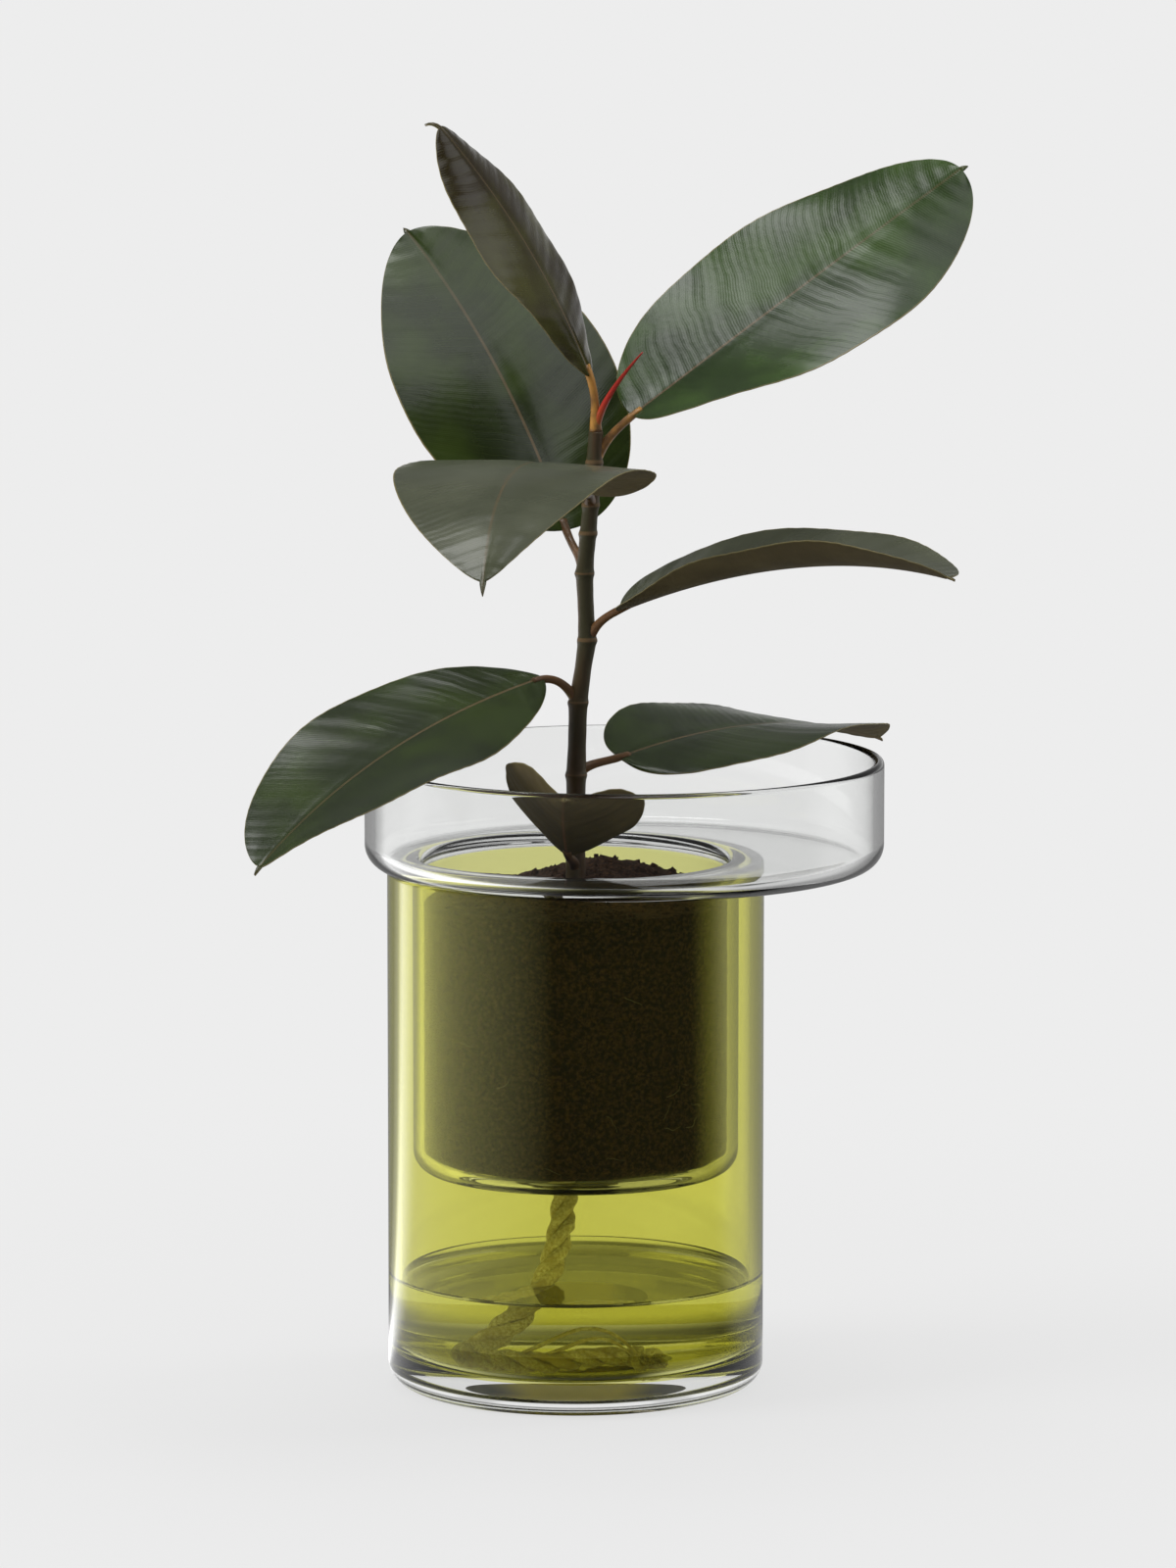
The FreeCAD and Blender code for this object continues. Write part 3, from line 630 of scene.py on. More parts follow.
def mound(x, y):
    """How high the heap stands over the soil at that place."""
    far = (Vector((x, y, 0)) - MOUND_PLACE).length / MOUND_RADIUS
    return MOUND_HEIGHT * max(0.0, 1 - far) ** MOUND_SLUMP


def grain(place, height_and_scale):
    """Unevenness of that height and scale, up or down."""
    height, scale = height_and_scale
    return height * noise.noise(place * scale)


potting_soil = finish_of("potting_soil", PEAT, 0.95, Specular_IOR_Level=0.2)
lump = speckle(potting_soil, 700, 8)
crumb = speckle(potting_soil, 1400, 4)
warm = product(potting_soil, ramp(potting_soil, lump, 0.35, 0.75), crumb)
coloured(potting_soil, warm, PEAT, PEAT_BROWN)
raised(potting_soil, number(potting_soil, "ADD", lump, crumb), 0.0012, 0.8)

soil_points = []
soil_rings = [(0.02, SOIL_FOOT), (0.035, SOIL_FOOT), (SOIL_RADIUS - SOIL_ROUND, SOIL_FOOT)]
soil_rings += [(SOIL_RADIUS - SOIL_ROUND * 0.3, SOIL_FOOT + SOIL_ROUND * 0.3)]
side_foot = SOIL_FOOT + SOIL_ROUND
side_height = SOIL_TOP - SOIL_FOOT - SOIL_ROUND
soil_rings += [(SOIL_RADIUS, side_foot + side_height * i / SOIL_ROWS) for i in range(SOIL_ROWS)]
soil_side = len(soil_rings)
soil_rings += [(SOIL_RADIUS * (1 - (i / TOP_ROWS) ** 1.1), SOIL_TOP) for i in range(TOP_ROWS)]
for n, (radius, height) in enumerate(soil_rings):
    for j in range(SOIL_SIDES):
        around = FULL_TURN * j / SOIL_SIDES
        x, y = radius * math.cos(around), radius * math.sin(around)
        place = Vector((x, y, height))
        if n < soil_side:
            dent = abs(grain(place, PRESSED)) + abs(grain(place, GRAIN))
            dent += HOLLOWS[0] * max(0.0, noise.noise(place * HOLLOWS[1]) - 0.25)
            place -= Vector((x, y, 0)).normalized() * dent
        else:
            rough = grain(place, CLODS) + grain(place, LOOSE_GRAIN)
            edge = min(1.0, (SOIL_RADIUS - radius) / SOIL_EDGE)
            place.z += mound(x, y) + rough * (0.35 + 0.65 * edge) - SETTLED
        soil_points.append(place)
soil_faces = tube_faces(len(soil_rings), SOIL_SIDES)
root_ball = mesh_object("root_ball", soil_points, soil_faces, potting_soil)
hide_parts("soil")
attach(root_ball, "plant")

# Crumbs and roots: loose lumps of the same peat on the heap, and the pale fine roots that show at
# the root ball's side, pressed against the glass.

CRUMBS = 420
CRUMB_SIZE = (0.0004, 0.0011)
CRUMB_SUNK = 0.0010
BIG_CRUMBS = 0.15
BIG_CRUMB = 1.6
CRUMB_CORNERS = ((1, 0, 0), (-1, 0, 0), (0, 1, 0), (0, -1, 0), (0, 0, 1), (0, 0, -1))
CRUMB_FACES = ((0, 2, 4), (2, 1, 4), (1, 3, 4), (3, 0, 4), (2, 0, 5), (1, 2, 5), (3, 1, 5), (0, 3, 5))
ROOTS = 18
ROOT_POINTS = 9
ROOT_RADIUS = (0.00006, 0.00012)
ROOT_SIDES = 5
ROOT_FRONT = (-88, -25)
ROOT_LOW = 0.035
ROOT_HIGH = 0.085
ROOT_TURN = 0.016
ROOT_CLIMB = 0.0009
ROOT_PALE = (0.20, 0.16, 0.085, 1)

random.seed(5)
crumb_points, crumb_faces = [], []
for n in range(CRUMBS):
    around = random.uniform(0, FULL_TURN)
    radius = SOIL_RADIUS * 0.95 * math.sqrt(random.uniform(0, 1))
    x, y = radius * math.cos(around), radius * math.sin(around)
    size = random.uniform(*CRUMB_SIZE) * (BIG_CRUMB if random.random() < BIG_CRUMBS else 1)
    place = Vector((x, y, SOIL_TOP + mound(x, y) - CRUMB_SUNK + size * 0.3))
    start = len(crumb_points)
    spin = Matrix.Rotation(random.uniform(0, 3), 3, Vector((random.random(), random.random(), 0.3)))
    for corner in CRUMB_CORNERS:
        crumb_points.append(place + spin @ Vector(corner) * size * random.uniform(0.7, 1.3))
    crumb_faces += [tuple(start + corner for corner in face) for face in CRUMB_FACES]
soil_crumbs = mesh_object("soil_crumbs", crumb_points, crumb_faces, potting_soil)
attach(soil_crumbs, "plant")

pale_root = finish_of("pale_root", ROOT_PALE, 0.8)
root_points, root_faces = [], []
for n in range(ROOTS):
    in_front = n % 2
    angle = math.radians(random.uniform(*ROOT_FRONT) if in_front else random.uniform(-180, 180))
    height = random.uniform(SOIL_FOOT + 0.004, SOIL_FOOT + (ROOT_LOW if in_front else ROOT_HIGH))
    course = random.uniform(-1, 1)
    line = []
    for i in range(ROOT_POINTS):
        angle += ROOT_TURN * math.cos(course)
        height += ROOT_CLIMB * math.sin(course)
        height = min(max(height, SOIL_FOOT + 0.002), SOIL_TOP - 0.004)
        course += random.uniform(-0.7, 0.7)
        outward = Vector((math.cos(angle), math.sin(angle), 0)) * (SOIL_RADIUS - 0.0002)
        line.append(outward + Vector((0, 0, height)))
    yarn(root_points, root_faces, line, random.uniform(*ROOT_RADIUS), ROOT_SIDES)
fine_roots = mesh_object("fine_roots", root_points, root_faces, pale_root)
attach(fine_roots, "plant")

# Stem: the young rubber plant's trunk, smooth and olive-brown, rooted in the soil. It swells a little
# at each leaf node and carries a pale ring scar there.

STEM_FOOT = 0.1685
STEM_HEIGHT = 0.173
STEM_FOOT_RADIUS = 0.0036
STEM_TOP_RADIUS = 0.0025
STEM_LEAN = ((0.0, 0.0), (0.12, 0.0), (0.292, 0.001), (0.442, 0.005), (0.57, 0.024), (0.708, 0.018),
             (0.849, 0.031), (0.935, 0.038), (1.0, 0.0415))
NODE_SHARES = {
    "front_small": 0.096, "right_low": 0.292, "left_low": 0.442, "right_drooping": 0.57,
    "back_left": 0.708, "front_left": 0.849, "right_large": 0.935, "top_young": 1.0,
}
NO_SCAR = ("top_young", "front_small")
OLD_SCARS = [0.205, 0.79]
STEM_SIDES = 28
STEM_STEPS = 260
SCAR_SWELL = 0.00045
SCAR_WIDTH = 0.0012
SCAR_BAND = 0.0006
NODE_SWELL = 0.00025
NODE_WIDTH = 0.006
STEM_WANDER = 0.00012
STEM_OUT_OF_ROUND = 0.03
BARK = (0.066, 0.036, 0.016, 1)
BARK_GREEN = (0.040, 0.036, 0.015, 1)
SCAR = (0.105, 0.066, 0.028, 1)


def stem_place(share):
    """The stem's middle at a share of its height."""
    for (low, lean), (high, lean_after) in zip(STEM_LEAN, STEM_LEAN[1:]):
        if share <= high:
            lean += (lean_after - lean) * (share - low) / (high - low)
            return Vector((lean * STEM_HEIGHT, 0, STEM_FOOT + share * STEM_HEIGHT))
    return Vector((STEM_LEAN[-1][1] * STEM_HEIGHT, 0, STEM_FOOT + STEM_HEIGHT))


bark = finish_of("stem_bark", BARK, 0.5)
streak = speckle(bark, 260, 4, (1, 1, 0.12))
patch = speckle(bark, 60, 3, (1, 1, 0.4))
coloured(bark, ramp(bark, number(bark, "ADD", streak, patch), 0.75, 1.25), BARK_GREEN, BARK)
raised(bark, streak, 0.0003, 0.5)
scar = finish_of("leaf_scar", SCAR, 0.55)

stem_points, stem_bands = [], []
scars = OLD_SCARS + [share for name, share in NODE_SHARES.items() if name not in NO_SCAR]
for i in range(STEM_STEPS + 1):
    share = i / STEM_STEPS
    centre = stem_place(share)
    radius = STEM_FOOT_RADIUS + (STEM_TOP_RADIUS - STEM_FOOT_RADIUS) * share
    nearest = min(abs(share - at) for at in scars) * STEM_HEIGHT
    scar_swell = SCAR_SWELL * math.exp(-(nearest / SCAR_WIDTH)**2)
    radius += scar_swell + NODE_SWELL * math.exp(-(nearest / NODE_WIDTH)**2)
    radius += STEM_WANDER * noise.noise(Vector((share * 30, 0, 0)))
    for j in range(STEM_SIDES):
        around = FULL_TURN * j / STEM_SIDES
        spot = Vector((math.cos(around) * 1.5, math.sin(around) * 1.5, share * 12))
        uneven = 1 + STEM_OUT_OF_ROUND * noise.noise(spot)
        stem_points.append(centre + Vector((math.cos(around), math.sin(around), 0)) * radius * uneven)
    if i < STEM_STEPS:
        stem_bands += [1 if nearest < SCAR_BAND else 0] * STEM_SIDES
stem_faces = tube_faces(STEM_STEPS + 1, STEM_SIDES)
stem_bands += [0, 0]
trunk = mesh_object("trunk", stem_points, stem_faces, bark, scar, indices=stem_bands)
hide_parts("stem")
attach(trunk, "plant")

# Leaves: eight thick rubber-plant leaves, glossy above and olive-brown beneath, each with a sunk
# midrib, close side veins, a thin pale edge and a hooked tip. The large one is fresher green and the
# youngest brown. Two have a painted sheen: their colour is lightened to a grey-green that stands in
# for the sheen on them. Round stalks carry them from the stem's nodes.

LEAF_LENGTH = 0.150
LEAF_WIDTH = 0.088
LEAF_THICK = 0.0009
LEAF_END = 0.0024
LEAF_ROWS = 84
LEAF_COLUMNS = 36
TIP_ROWS = 4
LEAF_RIPPLE = 0.0006
LEAF_SWELL = 0.0005
VEIN_SWELL = 0.00008
GROOVE_TOP = 0.00030
RIB_UNDER = 0.00060
VEIN_SPACING = 0.0066
VEIN_LEAN = 0.32
VEIN_BEND = 4.0
VEIN_DRIFT = 0.006
VEIN_TINT = 0.22
SKIN_RELIEF = 0.00008
MIDRIB_HALF = 0.00052
LEAF_DEEP = (0.012, 0.019, 0.005, 1)
LEAF_GREEN = (0.023, 0.038, 0.006, 1)
LEAF_VEIN = (0.034, 0.046, 0.012, 1)
LEAF_FRESH_DEEP = (0.013, 0.027, 0.005, 1)
LEAF_FRESH = (0.030, 0.060, 0.010, 1)
LEAF_YOUNG_DEEP = (0.018, 0.012, 0.002, 1)
LEAF_YOUNG = (0.046, 0.045, 0.006, 1)
# Painted sheen: two leaves' colours lightened to a grey-green that stands in for the sheen on them.
LEAF_PAINTED_SHEEN_DEEP = (0.042, 0.047, 0.027, 1)
LEAF_PAINTED_SHEEN = (0.064, 0.070, 0.042, 1)
LEAF_BROWN = (0.072, 0.056, 0.026, 1)
LEAF_OLIVE = (0.100, 0.080, 0.036, 1)
MIDRIB = (0.088, 0.062, 0.030, 1)
MIDRIB_UNDER = (0.16, 0.085, 0.045, 1)
LEAF_EDGE = (0.15, 0.125, 0.050, 1)
STALK = (0.125, 0.062, 0.024, 1)
STALK_ORANGE = (0.42, 0.20, 0.035, 1)
FLAT_UNDER = (0.010, 0.004)
GROOVE_FULL = 0.004
TIP_HALF = 0.00015
STALK_RADIUS = 0.0014
STALK_FOOT = 0.0009
STALK_HEAD = 0.0003
STALK_FLAT = 0.35
STALK_PULL = 0.4
STALK_SUNK = 0.004
STALK_SIDES = 20
STALK_STEPS = 24


def leaf_finish(name, deep, plain, vein, midrib, roughness, shine):
    """Leaf skin: side veins and a midrib drawn from the blade's own map, in metres."""
    skin = finish_of(
        name, plain, roughness, Coat_Weight=shine, Coat_Roughness=0.2, Specular_IOR_Level=0.1 + shine,
    )
    far, off_rib, _ = parts_of(skin, node(skin, "UVMap", uv_map="size").outputs[0])
    along, over, _ = parts_of(skin, node(skin, "UVMap", uv_map="blade").outputs[0])
    across = number(skin, "ABSOLUTE", off_rib)
    lean = number(skin, "ADD", product(skin, across, VEIN_BEND), VEIN_LEAN)
    unsteady = number(skin, "SUBTRACT", speckle(skin, 45, 2), 0.5)
    course = number(skin, "SUBTRACT", far, product(skin, across, lean))
    course = number(skin, "ADD", course, product(skin, unsteady, VEIN_DRIFT))

    def waves(length):
        """Waves of that length across the veins' course."""
        return number(skin, "SINE", product(skin, course, FULL_TURN / length))

    wave, broad, fine = waves(VEIN_SPACING / 2), waves(VEIN_SPACING * 1.7), waves(VEIN_SPACING / 7)
    colour = blended(skin, ramp(skin, speckle(skin, 38, 4), 0.35, 0.7), deep, plain)
    colour = blended(skin, product(skin, ramp(skin, wave, 0.93, 1.0), VEIN_TINT), colour, vein)
    rib = ramp(skin, across, MIDRIB_HALF * 0.7, MIDRIB_HALF * 1.25, 1.0, 0.0)
    rib = product(skin, rib, ramp(skin, along, 0.1, 1.0, 1.0, 0.35))
    colour = blended(skin, rib, colour, midrib)
    side = number(skin, "SUBTRACT", product(skin, over, 2.0), 1.0)
    edge = ramp(skin, number(skin, "ABSOLUTE", side), 0.986, 0.995)
    coloured(skin, edge, colour, LEAF_EDGE)
    wave = product(skin, wave, ramp(skin, speckle(skin, 30, 2), 0.40, 0.62, 0.0, 0.4))
    broad = product(skin, broad, ramp(skin, speckle(skin, 22, 2), 0.35, 0.65, 0.0, 1.5))
    height = number(skin, "ADD", wave, broad)
    height = number(skin, "ADD", height, product(skin, fine, 0.12))
    raised(skin, number(skin, "ADD", height, speckle(skin, 420, 3)), SKIN_RELIEF, 0.7)
    return skin


leaf_top = leaf_finish("leaf_top", LEAF_DEEP, LEAF_GREEN, LEAF_VEIN, MIDRIB, 0.27, 0.22)
leaf_fresh = leaf_finish("leaf_fresh", LEAF_FRESH_DEEP, LEAF_FRESH, LEAF_VEIN, MIDRIB, 0.27, 0.22)
leaf_young = leaf_finish("leaf_young", LEAF_YOUNG_DEEP, LEAF_YOUNG, LEAF_YOUNG, MIDRIB, 0.22, 0.25)
# The leaves with a painted sheen: lightened grey-green colour in place of their sheen.
leaf_painted_sheen = leaf_finish("leaf_painted_sheen", LEAF_PAINTED_SHEEN_DEEP, LEAF_PAINTED_SHEEN, LEAF_PAINTED_SHEEN, MIDRIB, 0.27, 0.22)
leaf_under = leaf_finish("leaf_underside", LEAF_BROWN, LEAF_OLIVE, LEAF_OLIVE, MIDRIB_UNDER, 0.7, 0.02)
leaf_rim = finish_of("leaf_rim", LEAF_EDGE, 0.5)
stalk_skin = finish_of("stalk_skin", STALK, 0.38, Coat_Weight=0.2)
coloured(stalk_skin, ramp(stalk_skin, speckle(stalk_skin, 90, 3), 0.35, 0.65), BARK, STALK)
young_stalk_skin = finish_of("young_stalk_skin", STALK_ORANGE, 0.35, Coat_Weight=0.3)
orange = ramp(young_stalk_skin, speckle(young_stalk_skin, 110, 3), 0.35, 0.65)
coloured(young_stalk_skin, orange, STALK, STALK_ORANGE)


def leaf_frame(along, heading, rise, droop, swing, roll, twist):
    """The directions ahead, to the left and up at a share along the midrib, from angles in degrees
    at the blade's foot and the change of each towards its tip."""
    course = math.radians(heading + swing * along)
    pitch = math.radians(rise - droop * along)
    level, sideways = math.cos(pitch), Vector((-math.sin(course), math.cos(course), 0))
    ahead = Vector((level * math.cos(course), level * math.sin(course), math.sin(pitch)))
    left = Matrix.Rotation(math.radians(roll + twist * along), 3, ahead) @ sideways
    return ahead, left, ahead.cross(left)


def add_leaf(name, reach, length_share, width_share, fold, close, widest, fullness,
             tip=0.004, hook=-8, skin=leaf_top, stalk_finish=stalk_skin, **way):
    """One blade and its stalk. reach is the way from the node to the blade's foot, in leaf lengths.
    fold is how far the halves stand up beside the midrib, and close what is added by the tip, in
    degrees. widest and fullness shape the outline. tip and hook are the drip tip's length and its
    bend in degrees, and the rest goes to leaf_frame."""
    start = stem_place(NODE_SHARES[name])
    base = start + Vector(reach) * LEAF_LENGTH
    length, width = LEAF_LENGTH * length_share, LEAF_WIDTH * width_share
    shares = [(1 - math.cos(math.pi * i / LEAF_ROWS)) / 2 for i in range(LEAF_ROWS + 1)]
    seed = sum(ord(letter) for letter in name)
    tops, unders, sizes, blades = [], [], [], []
    centre = base
    rows = [(share, 0.0) for share in shares]
    rows += [(1.0, (step + 1) / TIP_ROWS) for step in range(TIP_ROWS)]
    previous = 0.0
    for along, extra in rows:
        if not extra:
            ahead, left, up = leaf_frame(along, **way)
            if along:
                midway = leaf_frame((along + previous) / 2, **way)[0]
                centre = centre + midway * (length * (along - previous))
            previous = along
            spread = math.sin(math.pi * min(along**widest, 1.0))
            half = (width * max(spread, 0.0)**fullness + LEAF_END) / 2
        else:
            ahead = Matrix.Rotation(math.radians(-hook / TIP_ROWS), 3, left) @ ahead
            up = ahead.cross(left)
            centre = centre + ahead * tip / TIP_ROWS
            half = LEAF_END / 2 * (1 - extra) ** 0.8 + TIP_HALF
        lift = math.radians(fold + close * along)
        far = along * length + extra * tip
        for c in range(LEAF_COLUMNS + 1):
            side = math.sin(math.pi / 2 * (2 * c / LEAF_COLUMNS - 1))
            wide = abs(side) * half
            rib = centre + left * (side * half * math.cos(lift))
            rib += up * (abs(side)**1.5 * half * math.sin(lift))
            slope = math.copysign(min(abs(side) * 2, 1.0), side) if side else 0.0
            normal = up * math.cos(lift * slope) - left * math.sin(lift * slope)
            course = far - wide * (VEIN_LEAN + VEIN_BEND * wide)
            fade = min(1.0, half / FLAT_UNDER[0]) * min(1.0, wide / FLAT_UNDER[1])
            unsteady = 1.5 * noise.noise(Vector((far * 30, side, seed)))
            swell = VEIN_SWELL * math.sin(FULL_TURN * course / VEIN_SPACING + unsteady)
            swell += LEAF_SWELL * noise.noise(Vector((far * 26, side * 1.6, seed)))
            wavy = LEAF_RIPPLE * abs(side)**3 * math.sin(FULL_TURN * (along * 2.6 + seed * 0.13))
            groove = math.exp(-(wide / MIDRIB_HALF)**2)
            body = rib + normal * ((swell + wavy) * fade)
            thick = LEAF_THICK * (1 - 0.65 * abs(side)**6) / 2
            depth = min(1.0, half / GROOVE_FULL)
            ridge = RIB_UNDER * groove * depth * (1 - 0.6 * along)
            tops.append(body + normal * (thick - GROOVE_TOP * groove * depth))
            unders.append(body - normal * (thick + ridge))
            sizes.append((far, side * half))
            blades.append((along, (side + 1) / 2))
    wide_count = LEAF_COLUMNS + 1
    count = len(rows) * wide_count
    faces, indices = [], []
    for i in range(len(rows) - 1):
        for j in range(LEAF_COLUMNS):
            a, b = i * wide_count + j, (i + 1) * wide_count + j
            faces.append((a, b, b + 1, a + 1))
            indices.append(0)
            faces.append((count + a, count + a + 1, count + b + 1, count + b))
            indices.append(1)
        for a, flip in ((i * wide_count, False), (i * wide_count + LEAF_COLUMNS, True)):
            quad = (a, count + a, count + a + wide_count, a + wide_count)
            faces.append(quad[::-1] if flip else quad)
            indices.append(2)
    for row, flip in ((0, True), (len(rows) - 1, False)):
        for j in range(LEAF_COLUMNS):
            a = row * wide_count + j
            quad = (a, a + 1, count + a + 1, count + a)
            faces.append(quad if flip else quad[::-1])
            indices.append(2)
    blade = mesh_object(
        "blade_" + name, tops + unders, [face[::-1] for face in faces], skin, leaf_under, leaf_rim,
        indices=indices, layers={"blade": blades * 2, "size": sizes * 2},
    )
    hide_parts("leaf_" + name)
    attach(blade, "plant")

    ahead = leaf_frame(0, **way)[0]
    reach_way = (base - start).normalized()
    leave = (reach_way + Vector((0, 0, 0.6))).normalized()
    span = (base - start).length * STALK_PULL
    pulls = (start, start + leave * span, base - ahead * span, base + ahead * STALK_SUNK)
    line = pulled(pulls, STALK_STEPS)
    points = []
    for i, (place, (_, side, up)) in enumerate(zip(line, carried(line, Vector((0, 0, 1))))):
        t = i / STALK_STEPS
        radius = STALK_RADIUS + STALK_FOOT * (1 - t)**3 + STALK_HEAD * max(0.0, t - 0.75) * 4
        flat = 1 - STALK_FLAT * max(0.0, t - 0.8) * 5
        for j in range(STALK_SIDES):
            around = FULL_TURN * j / STALK_SIDES
            points.append(place + (side * math.cos(around) * flat + up * math.sin(around)) * radius)
    stalk_faces = tube_faces(STALK_STEPS + 1, STALK_SIDES)
    stalk = mesh_object("stalk_" + name, points, stalk_faces, stalk_finish)
    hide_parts("petiole_" + name)
    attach(stalk, "plant")


add_leaf(
    "top_young", (-0.014, 0.013, 0.13), 0.685, 0.565,
    heading=180, rise=69, droop=20, swing=4, roll=-19, twist=-13,
    fold=0, close=-15, widest=1.03, fullness=0.65, tip=0.006, hook=-75,
    skin=leaf_young, stalk_finish=young_stalk_skin,
)
add_leaf(
    "back_left", (-0.044, 0.143, 0.088), 0.887, 0.9,
    heading=129.5, rise=61, droop=22, swing=5.5, roll=-12, twist=-25.5,
    fold=5, close=-2, widest=0.78, fullness=0.59, tip=0.003, hook=-30,
)
add_leaf(
    "right_large", (0.09, 0.02, 0.11), 1.0, 0.875,
    heading=23, rise=34, droop=-0.5, swing=-8.5, roll=21, twist=21.5,
    fold=15.5, close=-30, widest=0.94, fullness=0.49, tip=0.003, hook=-45,
    skin=leaf_fresh, stalk_finish=young_stalk_skin,
)
add_leaf(
    "front_left", (-0.029, -0.22, 0.059), 0.947, 0.977,
    heading=-113, rise=29.5, droop=74, swing=18.5, roll=-6, twist=16,
    fold=-5.5, close=10.5, widest=0.75, fullness=0.73, tip=0.006, skin=leaf_painted_sheen,
)
add_leaf(
    "right_drooping", (0.076, -0.043, 0.079), 0.947, 0.693,
    heading=-23, rise=23, droop=29, swing=-25, roll=17, twist=-30,
    fold=20.5, close=-6, widest=0.97, fullness=0.52, skin=leaf_painted_sheen,
)
add_leaf(
    "left_low", (-0.085, -0.039, 0.063), 0.927, 0.783,
    heading=210.5, rise=-12.5, droop=22, swing=19.5, roll=-25.5, twist=29,
    fold=-1.5, close=14, widest=0.99, fullness=0.65,
)
add_leaf(
    "right_low", (0.103, 0.042, 0.036), 0.875, 0.745,
    heading=34, rise=13.5, droop=31, swing=18, roll=21, twist=-32,
    fold=0, close=5.5, widest=0.75, fullness=0.59,
)
add_leaf(
    "front_small", (-0.018, -0.145, 0.059), 0.416, 0.637,
    heading=-94, rise=30, droop=9, swing=6, roll=-13, twist=-2.5,
    fold=24, close=12.5, widest=0.98, fullness=0.56, tip=0.002,
)

# Sheath: the red pointed cover of the next leaf, a thin skin rolled tight to a point. It grows from
# the stem's top and leans to the right.

SHEATH_LENGTH = 0.033
SHEATH_RADIUS = 0.0015
SHEATH_POINT = 0.00025
SHEATH_RISE = (0.1, -0.05, 1.0)
SHEATH_LEAN = (0.5, -0.12, 0.86)
SHEATH_STEPS = 30
SHEATH_SIDES = 16
SHEATH_RED_FROM = 0.012
SEAM_AT = 4.4
SEAM_WIDTH = 0.25
SEAM_DEPTH = 0.14
SHEATH_RED = (0.36, 0.022, 0.014, 1)
SHEATH_FOOT = (0.30, 0.085, 0.02, 1)

sheath_skin = finish_of("sheath_skin", SHEATH_RED, 0.3, Coat_Weight=0.3)
sheath_top = stem_place(1.0)
height = parts_of(sheath_skin, node(sheath_skin, "TexCoord").outputs["Object"])[2]
climb = ramp(sheath_skin, height, sheath_top.z, sheath_top.z + SHEATH_RED_FROM)
coloured(sheath_skin, climb, SHEATH_FOOT, SHEATH_RED)

sheath_middle = sheath_top + Vector(SHEATH_RISE) * SHEATH_LENGTH / 3
sheath_tip = sheath_top + Vector(SHEATH_LEAN) * SHEATH_LENGTH
sheath_line = pulled((sheath_top, sheath_middle, sheath_tip), SHEATH_STEPS)
sheath_frames = carried(sheath_line, Vector((0, 1, 0)))
sheath_points = []
for i, (centre, (_, side, up)) in enumerate(zip(sheath_line, sheath_frames)):
    radius = SHEATH_RADIUS + (SHEATH_POINT - SHEATH_RADIUS) * (i / SHEATH_STEPS)**1.5
    for j in range(SHEATH_SIDES):
        around = FULL_TURN * j / SHEATH_SIDES
        seam = 1 - SEAM_DEPTH * math.exp(-((around - SEAM_AT) / SEAM_WIDTH)**2)
        sheath_points.append(centre + towards(side, up, around) * radius * seam)
sheath_faces = tube_faces(SHEATH_STEPS + 1, SHEATH_SIDES)
red_sheath = mesh_object("red_sheath", sheath_points, sheath_faces, sheath_skin)
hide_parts("leaf_sheath")
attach(red_sheath, "plant")

# Studio: a paper sweep for a floor that runs out of sight, a pale surround for the glass to show, a
# card at the left that shines in the glass, a darker room in front, a painted shadow under the jar
# that shows through the glass, soft shines overhead for the leaves, and three soft lights: a large
# one high on the left, one on the right, one over the top.

PALE = (0.847, 0.847, 0.847, 1)
FLOOR_PAPER = (0.56, 0.56, 0.56, 1)
FLOOR_HALF = 40
FLOOR_DROP = 0.0002
SURROUND_LIGHT = 0.42
LIGHT_INSIDE = 1.25
DARK_ROOM = 0.06
SHADE_RIGHT = 0.020
CARD_FROM = 0.17
CARD_REACH = 1.65
FLAGS = 8.0
# Each of these is a fade: from where, to where, and the strengths at the two.
SHADOW_FADE = (0.15, 0.60, 0.82, 1.0)
# The painted shadow under the jar, which the floor shows through the glass.
PAINTED_SHADOW_UNDER_JAR = (0.07, 0.125, 0.07, 1.0)
FLOOR_BEHIND = (-0.10, 0.25, DARK_ROOM, 0.75)
FLOOR_BACK = (0.50, 0.90, 1.0, 0.5)
CARD_END = (2.3, 2.6, 1.35, 0.3)
CARD_FAR = (1.20, 1.36, 1.0, 0.35)
STREAK_START = (1.85, 2.25, 0.0, 2.6)
STREAK_END = (2.24, 2.38, 1.0, 0.0)
PAPER_NEAR = (0.10, 0.16, 0.8, 0.0)
PAPER_RIGHT = (0.35, 0.75, 0.0, 1.0)
OVERHEAD = (0.22, 0.60, PALE[0], 0.58)
FLAG_SHADE = (-0.95, -0.55, 0.75, 1.0)
ROOM_BEHIND = (-0.15, 0.5, DARK_ROOM, 0.7)
ROOM_ABOVE = (0.02, 0.25, 1.0, 0.26)
ROOM_WITHIN = (-0.3, 0.3, 0.25, 0.7)
SOFT_SHINES = (
    # where from, full at, none at, strength
    ((-0.20, 0.10, 0.97), 0.994, 0.965, 5.5),
    ((0.15, -0.40, 0.90), 0.960, 0.860, 1.8),
    ((0.90, 0.00, 0.45), 0.970, 0.900, 1.1),
)


def length_of(material, vector):
    """The length of a vector output."""
    made = node(material, "VectorMath", operation="LENGTH")
    wire(material, (vector, made.inputs[0]))
    return made.outputs["Value"]


def kinds_of_ray(material):
    """Light Path, and whether a ray is off glass, through glass, or lights what is behind glass."""
    ray = node(material, "LightPath").outputs
    off = product(material, ray["Is Glossy Ray"], ray["Glossy Depth"], clamp=True)
    through = number(material, "SUBTRACT", ray["Is Transmission Ray"], off, clamp=True)
    within = product(material, ray["Diffuse Depth"], 1.0, clamp=True)
    return ray, off, through, within


